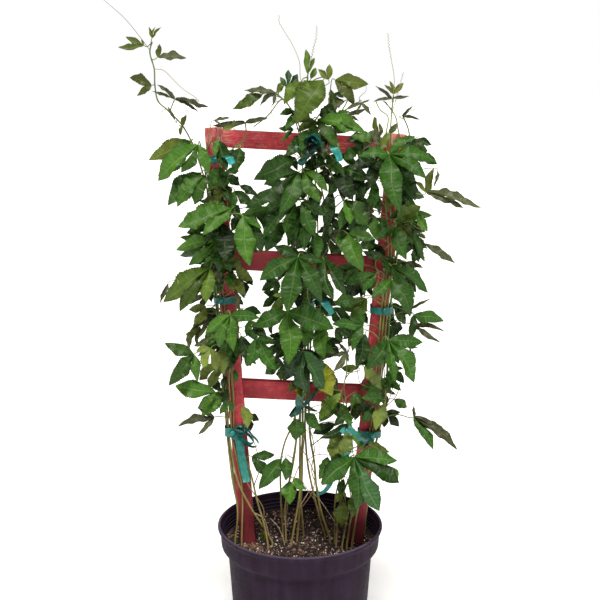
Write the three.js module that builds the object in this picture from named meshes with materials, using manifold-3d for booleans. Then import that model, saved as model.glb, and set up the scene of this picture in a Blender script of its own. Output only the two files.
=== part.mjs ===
// Passion flower vine grown up a red wooden ladder trellis in a three gallon nursery pot.
// Millimetres, +Z up, +X to the right, +Y away from the front. The origin is the centre of the
// pot's base, so the pot stands on z = 0.
import * as THREE from 'three';
import { mergeVertices } from 'three/addons/utils/BufferGeometryUtils.js';
import Module from 'manifold-3d';

const wasm = await Module();
wasm.setup();

// ---------------------------------------------------------------- driving sizes

const POT_HEIGHT = 240;
const RIM_RADIUS = 140;
const COLLAR_HEIGHT = 43;
const BODY_RADIUS = 123.2;
const BASE_RADIUS = 110;
const POT_SIDES = 32;
const SOIL_LEVEL = 202;
const SOIL_RISE = 0.065;
const FIT_GAP = 0.35;

const SLAT_WIDTH = 27;
const SLAT_THICK = 15;
const RUNG_THICK = 13;
const SLAT_FOOT = 40;
const LEFT_SLAT = { foot: [-77.5, SLAT_FOOT], head: [-137, 905] };
const RIGHT_SLAT = { foot: [80.5, SLAT_FOOT], head: [154, 895] };

const STEM_SIDES = 4;
const STEM_BEND = 1.3;
const STEM_FOOT = 165;
const STEM_CLEAR = 212;
const BLADE_THICK = 0.8;
const FULLNESS = 1.15;
const LONG_LOBE = 62;
const SHORT_LOBE = 44;
const LEAF_GAP = 0.35;

// Places in the leaf, shoot and tendril rows are read off square on in the plane of the trellis
// from a standing eye, and what stands before or behind that plane is drawn in along the sight line.
const EYE_BACK = 1700;
const EYE_UP = 997;

// ---------------------------------------------------------------- colours

const finish = (color, roughness) => new THREE.MeshStandardMaterial({
  color, roughness, metalness: 0, flatShading: true,
});
const POT_PLASTIC = finish(0x3a303d, 0.55);
const POTTING_MIX = finish(0x2e201a, 0.95);
const RED_PAINT = finish(0xa03040, 0.7);
const NAIL_STEEL = finish(0x9a9288, 0.5);
const TEAL_TAPE = finish(0x14a39b, 0.4);
const LEAF_GREEN = finish(0x3f7430, 0.6);
const DRY_TWIG = finish(0xa8937c, 0.8);

// ---------------------------------------------------------------- small tools

// A repeatable draw between 0 and 1 for item i, draw k.
function draw(i, k) {
  const s = Math.sin(i * 12.9898 + k * 78.233) * 43758.5453;
  return s - Math.floor(s);
}

const vec = (x, y, z) => new THREE.Vector3(x, y, z);

// The point that is seen at x, z in the trellis plane but stands at depth y.
function seen(x, z, y) {
  const f = (EYE_BACK + y) / EYE_BACK;
  return vec(x * f, y, EYE_UP + (z - EYE_UP) * f);
}

// A closed geometry as a solid.
function solidOf(geometry) {
  const g = geometry.clone();
  g.deleteAttribute('normal');
  g.deleteAttribute('uv');
  const merged = mergeVertices(g, 1e-4);
  return new wasm.Manifold(new wasm.Mesh({
    numProp: 3,
    vertProperties: new Float32Array(merged.attributes.position.array),
    triVerts: new Uint32Array(merged.index.array),
  }));
}

// Points and triangles as a solid.
function facets(points, faces) {
  const g = new THREE.BufferGeometry();
  g.setAttribute('position', new THREE.Float32BufferAttribute(points.flatMap((p) => [p.x, p.y, p.z]), 3));
  g.setIndex(faces.flat());
  return solidOf(g);
}

// A solid as a named mesh.
function asMesh(name, solid, material) {
  const m = solid.getMesh();
  const g = new THREE.BufferGeometry();
  g.setAttribute('position', new THREE.BufferAttribute(m.vertProperties.slice(), 3));
  g.setIndex(new THREE.BufferAttribute(m.triVerts.slice(), 1));
  const mesh = new THREE.Mesh(g, material);
  mesh.name = name;
  return mesh;
}

// A round bar along a line of points: rings of a few corners square to the path, closed by caps.
function tube(points, radius, sides) {
  const n = points.length;
  const out = [];
  const faces = [];
  let side = null;
  for (let i = 0; i < n; i += 1) {
    const ahead = points[Math.min(i + 1, n - 1)];
    const back = points[Math.max(i - 1, 0)];
    const along = ahead.clone().sub(back).normalize();
    if (!side) side = Math.abs(along.z) > 0.9 ? vec(1, 0, 0) : vec(0, 0, 1);
    side = side.clone().addScaledVector(along, -side.dot(along)).normalize();
    const over = along.clone().cross(side);
    const r = radius(i / (n - 1));
    for (let k = 0; k < sides; k += 1) {
      const a = (2 * Math.PI * k) / sides;
      out.push(points[i].clone()
        .addScaledVector(side, r * Math.cos(a))
        .addScaledVector(over, r * Math.sin(a)));
    }
  }
  for (let i = 0; i + 1 < n; i += 1) {
    for (let k = 0; k < sides; k += 1) {
      const a = i * sides + k;
      const b = i * sides + ((k + 1) % sides);
      faces.push([a, b, b + sides], [a, b + sides, a + sides]);
    }
  }
  const last = (n - 1) * sides;
  for (let k = 1; k + 1 < sides; k += 1) {
    faces.push([0, k + 1, k], [last, last + k, last + k + 1]);
  }
  return facets(out, faces);
}

// A flat tape along a line of points, its width along `across` and closed all round.
function tape(points, across, width, thick) {
  const out = [];
  const faces = [];
  const n = points.length;
  points.forEach((p, i) => {
    const along = points[Math.min(i + 1, n - 1)].clone().sub(points[Math.max(i - 1, 0)]).normalize();
    const wide = across[i].clone().addScaledVector(along, -across[i].dot(along)).normalize();
    const up = along.clone().cross(wide);
    [[-1, -1], [1, -1], [1, 1], [-1, 1]].forEach(([a, b]) => out.push(p.clone()
      .addScaledVector(wide, (a * width[i]) / 2)
      .addScaledVector(up, (b * thick) / 2)));
  });
  for (let i = 0; i + 1 < n; i += 1) {
    for (let k = 0; k < 4; k += 1) {
      const a = i * 4 + k;
      const b = i * 4 + ((k + 1) % 4);
      faces.push([a, b, b + 4], [a, b + 4, a + 4]);
    }
  }
  const e = (n - 1) * 4;
  faces.push([0, 2, 1], [0, 3, 2], [e, e + 1, e + 2], [e, e + 2, e + 3]);
  return facets(out, faces);
}

// The outline round a set of flat points, counter-clockwise.
function hull(points) {
  const p = points.slice().sort((a, b) => a[0] - b[0] || a[1] - b[1]);
  const turn = (o, a, b) => (a[0] - o[0]) * (b[1] - o[1]) - (a[1] - o[1]) * (b[0] - o[0]);
  const half = (list) => {
    const h = [];
    for (const q of list) {
      while (h.length > 1 && turn(h[h.length - 2], h[h.length - 1], q) <= 0) h.pop();
      h.push(q);
    }
    h.pop();
    return h;
  };
  return [...half(p), ...half(p.reverse())];
}

// A line with the points left out that lie closer than `slack` to the chord past them.
function thinned(line, slack) {
  const last = line.length - 1;
  const chord = new THREE.Line3(line[0], line[last]);
  let far = 0;
  let split = 0;
  for (let i = 1; i < last; i += 1) {
    const d = chord.closestPointToPoint(line[i], true, vec(0, 0, 0)).distanceTo(line[i]);
    if (d > far) {
      far = d;
      split = i;
    }
  }
  if (far <= slack) return [line[0], line[last]];
  const head = thinned(line.slice(0, split + 1), slack);
  return [...head.slice(0, -1), ...thinned(line.slice(split), slack)];
}

const group = new THREE.Group();
const fixed = [];

function place(name, solid, material) {
  group.add(asMesh(name, solid, material));
  fixed.push(solid);
}

// ---------------------------------------------------------------- pot

// Thin blow-moulded wall: tapered body, a step out to the collar, a rolled rim, and stacking
// ridges round the inside of the collar. Six drain slots cut the lower corner.
function potSolid() {
  const step = POT_HEIGHT - COLLAR_HEIGHT;
  const profile = [
    [0, 0], [BASE_RADIUS - 5, 0], [BASE_RADIUS, 4],
    [BODY_RADIUS, step - 3], [133.4, step + 1], [136, POT_HEIGHT - 10],
    [139.2, POT_HEIGHT - 9], [RIM_RADIUS, POT_HEIGHT - 4], [138.6, POT_HEIGHT],
    [135.2, POT_HEIGHT], [133.8, POT_HEIGHT - 6], [132, POT_HEIGHT - 14],
    [133.4, POT_HEIGHT - 19], [131.4, step + 3], [BODY_RADIUS - 2.2, step - 1],
    [BASE_RADIUS - 2.2, 4], [0, 4],
  ].map(([r, z]) => new THREE.Vector2(r, z));
  const lathe = new THREE.LatheGeometry(profile, POT_SIDES);
  lathe.rotateX(Math.PI / 2);
  let pot = solidOf(lathe);
  for (let i = 0; i < 6; i += 1) {
    const slot = new THREE.BoxGeometry(30, 14, 12);
    slot.translate(BASE_RADIUS + 3, 0, 6);
    slot.rotateZ(((i + 0.5) * Math.PI) / 3);
    pot = pot.subtract(solidOf(slot));
  }
  return pot;
}

// ---------------------------------------------------------------- trellis

// A sawn slat between two points of the trellis plane, with arrises taken off.
function slatSolid(from, to, width, thick, y, wedge) {
  const a = new THREE.Vector2(from[0], from[1]);
  const b = new THREE.Vector2(to[0], to[1]);
  const length = a.distanceTo(b);
  const bevel = 0.9;
  const w = width / 2 - bevel;
  const shape = new THREE.Shape();
  shape.moveTo(-w, wedge + bevel);
  shape.lineTo(-w * 0.25, bevel);
  shape.lineTo(w * 0.35, bevel);
  shape.lineTo(w, wedge * 0.8 + bevel);
  shape.lineTo(w, length * 0.46);
  shape.lineTo(w, length - bevel);
  shape.lineTo(-w, length - bevel);
  shape.lineTo(-w, length * 0.55);
  const g = new THREE.ExtrudeGeometry(shape, {
    depth: thick - 2 * bevel,
    bevelThickness: bevel,
    bevelSize: bevel,
    bevelSegments: 1,
  });
  g.translate(0, 0, -(thick - 2 * bevel) / 2);
  g.rotateX(Math.PI / 2);
  g.rotateY(Math.atan2(b.x - a.x, b.y - a.y));
  g.translate(a.x, y, a.y);
  return solidOf(g);
}

const slatX = (slat, z) => slat.foot[0]
  + ((slat.head[0] - slat.foot[0]) * (z - slat.foot[1])) / (slat.head[1] - slat.foot[1]);

// The rungs slope down a little to the right and are nailed on behind the uprights.
const RUNG_Y = SLAT_THICK / 2 + 0.3 + RUNG_THICK / 2;
const RUNG_SLOPE = -0.052;
const RUNGS = {
  rung_top: { z: 881, width: 28.5 },
  rung_middle: { z: 686.3, width: 33 },
  rung_lower: { z: 468.5, width: 32 },
};
const rungZ = (name, x) => RUNGS[name].z + RUNG_SLOPE * x;

function rungSolid(name) {
  const { z, width } = RUNGS[name];
  const left = slatX(LEFT_SLAT, z) - SLAT_WIDTH / 2 + 1;
  const right = slatX(RIGHT_SLAT, z) + SLAT_WIDTH / 2 - 1;
  return slatSolid([left, rungZ(name, left)], [right, rungZ(name, right)],
    width, RUNG_THICK, RUNG_Y, 0.4);
}

const NAIL_SHANK = 1.2;

// A wire nail driven square through an upright into the rung behind it, or its clearance hole.
function nailSolid(x, z, grow) {
  const face = -SLAT_THICK / 2 - 0.75;
  const long = SLAT_THICK + 10 + grow;
  const shank = new THREE.CylinderGeometry(NAIL_SHANK + grow, NAIL_SHANK + grow, long, 5);
  shank.translate(x, face + long / 2, z);
  if (grow) return solidOf(shank);
  const head = new THREE.CylinderGeometry(3.4, 3.4, 1.6, 7);
  head.translate(x, face - 0.4, z);
  return solidOf(shank).add(solidOf(head));
}

const slats = {
  upright_left: slatSolid(LEFT_SLAT.foot, LEFT_SLAT.head, SLAT_WIDTH, SLAT_THICK, 0, 26),
  upright_right: slatSolid(RIGHT_SLAT.foot, RIGHT_SLAT.head, SLAT_WIDTH, SLAT_THICK, 0, 26),
  rung_top: rungSolid('rung_top'),
  rung_middle: rungSolid('rung_middle'),
  rung_lower: rungSolid('rung_lower'),
};
const nails = [];
for (const rung of Object.keys(RUNGS)) {
  for (const [tag, slat] of [['left', LEFT_SLAT], ['right', RIGHT_SLAT]]) {
    const x = slatX(slat, RUNGS[rung].z);
    const z = rungZ(rung, x);
    const hole = nailSolid(x, z, 0.55);
    slats[`upright_${tag}`] = slats[`upright_${tag}`].subtract(hole);
    slats[rung] = slats[rung].subtract(hole);
    nails.push([`nail_${rung.slice(5)}_${tag}`, nailSolid(x, z, 0)]);
  }
}

// ---------------------------------------------------------------- stems

// A lane is a stem's offset from the middle line of its column; it sways a little, those of a
// side column together, and may bow out round a height.
const COLUMN = {
  L: (z) => slatX(LEFT_SLAT, z),
  R: (z) => slatX(RIGHT_SLAT, z),
  C: (z) => {
    const line = new THREE.SplineCurve([[380, 5], [450, 5], [560, 9], [640, 11], [720, 24],
      [800, 22], [870, 14], [960, 12]].map((p) => new THREE.Vector2(p[0], p[1])));
    const t = Math.min(Math.max((z - 380) / 580, 0), 1);
    let lo = 0;
    let hi = 1;
    for (let i = 0; i < 24; i += 1) {
      const mid = (lo + hi) / 2;
      if (line.getPoint(mid).x < 380 + t * 580) lo = mid;
      else hi = mid;
    }
    return line.getPoint(lo).y;
  },
};

// Each stem: where it leaves the soil, the points it passes on the way to its lane, the lane
// (offset across, depth, first and last height, bow [height, reach, amount]), the points of its
// shoot above the lane as [x, z, y], and its foot and head radius.
const STEMS = {
  L1: {
    soil: [-101, 15],
    rise: [[-110, 14, 290]],
    lane: [-18.5, 3.5, 400, 800],
    shoot: [[-158, 845, -4], [-172, 884, -10], [-186, 909, -12], [-209, 933, -14], [-222, 945, -15],
      [-226.5, 968, -15], [-227, 995, -14], [-233, 1021, -13], [-229, 1036, -12]],
    radius: [2.2, 1.1],
  },
  L2: {
    soil: [-110, -19],
    rise: [[-105, -17, 266], [-114, -14, 325]],
    lane: [-18.5, -6, 400, 850],
    shoot: [[-158, 880, -14]],
    radius: [1.9, 1.2],
  },
  L3: {
    soil: [-47, -20],
    rise: [[-61, -21, 238], [-82, -22, 274], [-104, -20, 322]],
    lane: [-14.5, -12, 396, 850],
    shoot: [[-146, 880, -15]],
    radius: [2.1, 1.2],
  },
  L4: {
    soil: [-99, -17],
    rise: [[-97, -12.5, 300], [-103, -12, 345]],
    lane: [-9.5, -12.3, 396, 840],
    shoot: [[-135, 872, -15]],
    radius: [1.9, 1.2],
  },
  L5: {
    soil: [-54, -31],
    rise: [[-60, -26, 245], [-72, -17, 285], [-85, -12, 340]],
    lane: [-4.5, -12, 396, 800],
    shoot: [[-124, 845, -13], [-108, 870, -13], [-86, 889, -9], [-86, 913, -6]],
    radius: [2.1, 1.1],
  },
  C1: {
    soil: [-29, 2],
    rise: [[-33, 0, 300], [-32, -2, 351], [-25, -6, 386], [-12, -9, 418]],
    lane: [-8.7, -9, 450, 860],
    shoot: [[-4, 905, -14], [-14, 932, -14], [-27, 949, -9], [-50, 924, 0], [-73, 906, 3]],
    radius: [2.2, 1.1],
  },
  C2: {
    soil: [-24, -12],
    rise: [[-24, -14, 279], [-14, -17, 342], [-6, -17, 396]],
    lane: [-4.5, -16.6, 440, 870],
    shoot: [[-6, 920, -26], [-24, 946, -24], [-38, 958, -20]],
    radius: [2.2, 1.1],
  },
  C3: {
    soil: [-14, -22],
    rise: [[-9, -24, 245], [0, -24, 305], [3, -19, 380]],
    lane: [4.5, -16.6, 440, 880],
    shoot: [[14, 925, -20], [11, 958, -20], [12, 984, -18]],
    radius: [2.4, 1.1],
  },
  C4: {
    soil: [-5, -5],
    rise: [[2, -6, 297], [4, -8, 380]],
    lane: [0, -8.6, 440, 880],
    shoot: [[24, 915, -10], [40, 934, -12], [53, 944, -14]],
    radius: [2.4, 1.1],
  },
  C5: {
    soil: [43, 6],
    rise: [[32, 0, 254], [22, -3, 297], [13, -4, 345], [9, -3, 395]],
    lane: [4.6, -0.8, 440, 840, [770, 60, 12]],
    shoot: [[22, 880, -3], [30, 905, -2]],
    radius: [2.2, 1.2],
  },
  C6: {
    soil: [51, -4],
    rise: [[36, -9, 262], [28, -10, 305], [24, -9, 350], [17, -9, 395]],
    lane: [9.4, -9.4, 440, 850, [780, 70, 24]],
    shoot: [[42, 890, -12], [66, 928, -10], [95, 943, -10]],
    radius: [2.2, 1.1],
  },
  C7: {
    soil: [6, 14],
    rise: [[0, 8, 300], [0, 1, 390]],
    lane: [-4.6, -0.8, 440, 850],
    shoot: [[0, 900, 2]],
    radius: [2.2, 1.2],
  },
  R1: {
    soil: [111, 17],
    rise: [[118, 14, 300]],
    lane: [18.5, 3.5, 400, 850, [470, 60, 6]],
    shoot: [[173, 880, 4], [171, 901, 3], [162, 922, 0]],
    radius: [2.1, 1.1],
  },
  R2: {
    soil: [88, -25],
    rise: [[98, -24, 280], [116, -18, 345]],
    lane: [18.5, -6, 400, 850, [470, 60, 6]],
    shoot: [[163, 870, -10.5], [155, 900, -11.5], [150, 922, -12], [139, 938, -12]],
    radius: [2.1, 1.1],
  },
  R3: {
    soil: [79, -29],
    rise: [[88, -29, 275], [108, -22, 345]],
    lane: [13.5, -12, 400, 700],
    shoot: [[152, 795, -14], [143, 886, -14], [143.5, 922, -15], [145.5, 950, -15]],
    radius: [2.2, 1.1],
  },
  R4: {
    soil: [71, -33],
    rise: [[81, -33, 275], [100, -24, 345]],
    lane: [8.5, -12.3, 400, 700],
    shoot: [[144, 790, -15], [136, 893, -18], [138, 922, -20], [126, 932, -21], [119, 945, -21]],
    radius: [2.2, 1.1],
  },
  R5: {
    soil: [61, -26],
    rise: [[66, -28, 280], [91, -20, 350]],
    lane: [3.5, -12, 400, 700],
    shoot: [[136, 790, -14], [124, 880, -16], [123, 893, -18]],
    radius: [1.9, 1.2],
  },
  R6: {
    soil: [59, -8],
    rise: [[60, -12, 290], [74, -14, 350], [86, -18, 405], [76, -24, 457]],
    lane: null,
    shoot: [[73, 481, -26], [77, 505, -28], [76, 542, -28]],
    radius: [1.8, 1],
  },
};

function stemPath(id) {
  const s = STEMS[id];
  const [x, y] = s.soil;
  const knots = [vec(x, y, STEM_CLEAR), ...s.rise.map((p) => vec(p[0], p[1], p[2]))];
  if (s.lane) {
    const [across, depth, from, to, bow] = s.lane;
    const phase = 6 * draw(id.charCodeAt(0), id[0] === 'C' ? Number(id[1]) : 1);
    for (let z = from; z <= to; z += 50) {
      const sway = 1.1 * Math.sin(z / 41 + phase);
      const bowed = bow ? bow[2] * Math.exp(-(((z - bow[0]) / bow[1]) ** 2)) : 0;
      knots.push(vec(COLUMN[id[0]](z) + across + sway + bowed,
        depth + 0.8 * Math.cos(z / 33 + phase), z));
    }
  }
  s.shoot.forEach((p) => knots.push(seen(p[0], p[1], p[2])));
  const curve = new THREE.CatmullRomCurve3(knots, false, 'centripetal');
  const line = curve.getSpacedPoints(Math.round(curve.getLength() / 8));
  return [vec(x, y, STEM_FOOT), ...thinned(line, STEM_BEND)];
}

const stems = {};
for (const id of Object.keys(STEMS)) {
  const path = stemPath(id);
  const [foot, head] = STEMS[id].radius;
  stems[id] = { path, pieces: [tube(path, (t) => foot + (head - foot) * t, STEM_SIDES)] };
}

// A dry leafless twig stands in the soil between the left and the middle stems.
const TWIG = [vec(-27, -21, STEM_FOOT), vec(-27, -21, STEM_CLEAR), vec(-31, -21, 226), vec(-39, -22, 243),
  vec(-50, -23, 256)];

// ---------------------------------------------------------------- soil

// Potting mix filling the pot to 38 mm below the rim, lightly mounded, lumpy and banked up to the
// back, with a plain hole for each stem and a slot for the foot of each upright.
function soilSolid() {
  const step = POT_HEIGHT - COLLAR_HEIGHT;
  const rings = [[0, 4 + FIT_GAP], [BASE_RADIUS - 2.2 - FIT_GAP, 4 + FIT_GAP],
    [BODY_RADIUS - 2.3 - FIT_GAP, step - 1 + FIT_GAP], [131 - FIT_GAP, step + 3 + FIT_GAP],
    [131 - FIT_GAP, step + 4.5], [110, SOIL_LEVEL], [74, SOIL_LEVEL + 2],
    [36, SOIL_LEVEL + 4], [0, SOIL_LEVEL + 4]];
  const g = new THREE.LatheGeometry(rings.map(([r, z]) => new THREE.Vector2(r, z)), POT_SIDES);
  g.rotateX(Math.PI / 2);
  const p = g.attributes.position;
  for (let i = 0; i < p.count; i += 1) {
    const r = Math.hypot(p.getX(i), p.getY(i));
    if (p.getZ(i) > SOIL_LEVEL - 1 && r > 5 && r < 125) {
      const a = Math.round(p.getX(i)) * 7 + Math.round(p.getY(i)) * 13;
      p.setZ(i, p.getZ(i) + 3.2 * (draw(a, 3) - 0.5));
    }
    if (p.getZ(i) > step + 4.4) p.setZ(i, p.getZ(i) + SOIL_RISE * Math.max(0, p.getY(i)));
  }
  let soil = solidOf(g);
  for (const id of Object.keys(stems)) {
    const [x, y] = STEMS[id].soil;
    const r = STEMS[id].radius[0] + FIT_GAP / Math.cos(Math.PI / STEM_SIDES);
    const top = vec(x, y, STEM_CLEAR + 8);
    soil = soil.subtract(tube([vec(x, y, STEM_FOOT - 0.5), top], () => r, STEM_SIDES));
  }
  const twigTop = TWIG[1].clone().add(vec(0, 0, 8));
  soil = soil.subtract(tube([TWIG[0].clone().add(vec(0, 0, -0.5)), twigTop], () => 1.7, 4));
  for (const slat of [LEFT_SLAT, RIGHT_SLAT]) {
    const lean = (slat.head[0] - slat.foot[0]) / (slat.head[1] - slat.foot[1]);
    const foot = [slat.foot[0] - 0.4 * lean, slat.foot[1] - 0.4];
    const head = [slat.foot[0] + 180 * lean, slat.foot[1] + 180];
    soil = soil.subtract(slatSolid(foot, head, SLAT_WIDTH + 0.8, SLAT_THICK + 0.8, 0, 25));
  }
  return soil;
}

place('pot', potSolid(), POT_PLASTIC);
place('soil', soilSolid(), POTTING_MIX);
for (const name of Object.keys(slats)) place(name, slats[name], RED_PAINT);
for (const [name, solid] of nails) place(name, solid, NAIL_STEEL);

// ---------------------------------------------------------------- ties

// Where a stem passes a height.
function stemAt(id, z) {
  const { path } = stems[id];
  for (let i = 1; i < path.length; i += 1) {
    const a = path[i - 1];
    const b = path[i];
    if ((a.z - z) * (b.z - z) <= 0 && a.z !== b.z) {
      const t = (z - a.z) / (b.z - a.z);
      const f = (i - 1 + t) / (path.length - 1);
      const [foot, head] = STEMS[id].radius;
      return { at: a.clone().lerp(b, t), r: foot + (head - foot) * f };
    }
  }
  return null;
}

const TAPE_WIDTH = 9;
const TAPE_THICK = 0.9;

// A closed band of stretch tape pulled round the stems named and, where `slat` is given, the
// upright beside them. `roll` tips the band so that it also goes round a rung behind the stems.
function bandSolid(ids, z, slat, roll, rung, width = TAPE_WIDTH) {
  const c = Math.cos(roll);
  const s = Math.sin(roll);
  const x0 = rung ? stemAt(ids[0], z).at.x : 0;
  const pts = [];
  const box = (u0, u1, v0, v1) => pts.push([u0, v0], [u1, v0], [u0, v1], [u1, v1]);
  for (const id of ids) {
    const level = rung ? z + ((stemAt(id, z).at.x - x0) * s) / c : z;
    const hits = [-1, 0, 1].map((k) => stemAt(id, level + (k * width) / (2 * c)));
    const r = hits[0].r + 0.55;
    const across = hits.map((h) => h.at.x - x0);
    const deep = hits.map((h) => h.at.y);
    const spread = ((width / 2) * s) / c + (rung ? 3.2 : 0);
    box((Math.min(...across) - r) / c - spread, (Math.max(...across) + r) / c + spread,
      Math.min(...deep) - r, Math.max(...deep) + r);
  }
  if (slat) {
    const x = slatX(slat, z);
    const w = SLAT_WIDTH / 2 + 0.9;
    const t = SLAT_THICK / 2 + 0.4;
    box(x - w, x + w, -t, t);
  }
  if (rung) {
    const middle = rungZ(rung, x0) - z;
    const reach = RUNGS[rung].width / 2 + 0.7 + (width / 2) * c;
    const rise = s - RUNG_SLOPE * c;
    box((middle - reach) / rise, (middle + reach) / rise,
      RUNG_Y - RUNG_THICK / 2, RUNG_Y + RUNG_THICK / 2 + 0.4);
  }
  const keep = hull(pts);
  const n = keep.length;
  const outer = keep.map((p, i) => {
    const a = keep[(i + n - 1) % n];
    const b = keep[(i + 1) % n];
    const e = new THREE.Vector2(p[0] - a[0], p[1] - a[1]).normalize();
    const f = new THREE.Vector2(b[0] - p[0], b[1] - p[1]).normalize();
    const m = new THREE.Vector2(e.y + f.y, -(e.x + f.x)).normalize();
    const k = TAPE_THICK / Math.max(0.5, m.dot(new THREE.Vector2(e.y, -e.x)));
    return [p[0] + m.x * k, p[1] + m.y * k];
  });
  const shape = new THREE.Shape(outer.map((p) => new THREE.Vector2(p[0], p[1])));
  shape.holes.push(new THREE.Path(keep.map((p) => new THREE.Vector2(p[0], p[1]))));
  const g = new THREE.ExtrudeGeometry(shape, { depth: width, bevelEnabled: false });
  g.translate(0, 0, -width / 2);
  if (rung) {
    g.rotateY(-roll);
    g.translate(x0, 0, z);
  } else {
    g.translate(0, 0, z);
  }
  const front = outer.reduce((a, b) => (b[1] < a[1] ? b : a));
  const x = rung ? x0 + front[0] * c : front[0];
  const up = rung ? z + front[0] * s : z;
  return { solid: solidOf(g), front: vec(x, front[1], up) };
}

// A small pulled knot of tape on the front of a band.
function knotSolid(at, sx, sy, sz) {
  const g = new THREE.SphereGeometry(1, 5, 3);
  g.scale(sx, sy, sz);
  g.translate(at.x, at.y - sy + 0.6, at.z);
  return solidOf(g);
}

// A loose end of tape from the knot through the points given as [dx, dy, dz], with its widths.
function tailSolid(at, points, width, twist) {
  const line = [vec(at.x, at.y - 1.6, at.z),
    ...points.map((p) => vec(at.x + p[0], at.y + p[1], at.z + p[2]))];
  const across = line.map((p, i) => vec(Math.cos(twist[i]), Math.sin(twist[i]) * 0.6, Math.sin(twist[i]) * 0.2));
  return tape(line, across, width, TAPE_THICK);
}

const TIES = {
  tie_left_low: () => {
    const b = bandSolid(['L1', 'L2', 'L3', 'L4', 'L5'], 404, LEFT_SLAT, 0, false, 13);
    const at = b.front;
    const hang = tailSolid(at, [[6, -4, -10], [13, -9, -45], [20, -13, -92]], [9, 13, 15, 13],
      [0, 0, 0.1, 0.2]);
    const bow = tape([vec(at.x, at.y - 1.4, at.z + 4), vec(at.x + 12, at.y - 3, at.z - 2),
      vec(at.x + 27, at.y - 5, at.z - 18), vec(at.x + 22, at.y - 7, at.z - 27),
      vec(at.x + 9, at.y - 6, at.z - 20), vec(at.x + 1, at.y - 2, at.z - 4)],
    new Array(6).fill(vec(0, 1, 0.2)), [4, 6, 6, 6, 6, 4], TAPE_THICK);
    return [b.solid, knotSolid(at, 5.5, 3.2, 5), hang, bow];
  },
  tie_left_middle: () => {
    const b = bandSolid(['L1', 'L2', 'L3', 'L4', 'L5'], 629, LEFT_SLAT, 0, false, 10);
    return [b.solid, knotSolid(b.front, 4, 2.6, 4),
      tailSolid(b.front, [[-7, -1.5, -3], [-13, -1, -10]], [6, 8, 6], [1.2, 1.2, 1])];
  },
  tie_left_top: () => {
    const b = bandSolid(['L2', 'L3', 'L4', 'L5'], 855, LEFT_SLAT, 0, false, 12);
    return [b.solid, knotSolid(b.front, 4.5, 3, 4.5),
      tailSolid(b.front, [[8, -3, 3], [14, -4, 0], [16, -4, -6]], [6, 9, 10, 8], [1, 1.2, 1.4, 1.4])];
  },
  tie_centre_top: () => {
    const b = bandSolid(['C4', 'C1', 'C2', 'C3', 'C5', 'C6', 'C7'], 867, null, 0.72, 'rung_top', 9);
    return [b.solid, knotSolid(b.front, 6.5, 3.4, 6),
      tailSolid(b.front, [[-10, -3, 2], [-19, -3, -2]], [6, 8, 6], [1.4, 1.4, 1.2]),
      tailSolid(b.front, [[14, -4, -3], [30, -5, -10], [35, -5, -18]], [6, 8, 9, 7], [1.4, 1.3, 1, 1])];
  },
  tie_centre_middle: () => {
    const b = bandSolid(['C4', 'C1', 'C2', 'C3', 'C5', 'C6', 'C7'], 622, null, 0, false, 10);
    return [b.solid, knotSolid(b.front, 4.5, 3, 4.5),
      tailSolid(b.front, [[14, -4, -2], [24, -5, -12], [31, -5, -32]], [6, 8, 10, 8], [1.4, 1.2, 0.6, 0.3])];
  },
  tie_centre_low: () => {
    const b = bandSolid(['C4', 'C1', 'C2', 'C3', 'C5', 'C6', 'C7'], 452, null, 0.78, 'rung_lower', 9);
    return [b.solid, knotSolid(b.front, 4.5, 3, 5),
      tailSolid(b.front, [[1, -4, -12], [2, -5, -24], [2, -5, -36]], [6, 11, 13, 12], [0, 0, 0, 0])];
  },
  tie_right_middle: () => {
    const b = bandSolid(['R1', 'R2', 'R3', 'R4', 'R5'], 612, RIGHT_SLAT, 0, false, 12);
    return [b.solid, knotSolid(b.front, 5, 3, 5)];
  },
  tie_right_low: () => {
    const b = bandSolid(['R1', 'R2', 'R3', 'R4', 'R5'], 400, RIGHT_SLAT, 0, false, 11);
    const at = b.front;
    return [b.solid, knotSolid(at, 5, 3.2, 6),
      tailSolid(at, [[-12, -5, 2], [-26, -8, 6], [-34, -9, 2]], [7, 10, 12, 9], [1.4, 1.3, 1.1, 1]),
      tailSolid(at, [[-12, -8, -18], [-28, -10, -34], [-46, -12, -62], [-60, -8, -86], [-72, -6, -94]],
        [6, 8, 8, 9, 10, 10], [0.8, 0.8, 0.6, 0.4, 0.6, 0.8])];
  },
};
for (const name of Object.keys(TIES)) {
  place(name, wasm.Manifold.union(TIES[name]()).simplify(0.03), TEAL_TAPE);
}

place('dry_twig', tube(TWIG, (t) => 1.1 - 0.4 * t, 4), DRY_TWIG);

// ---------------------------------------------------------------- leaves

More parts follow.
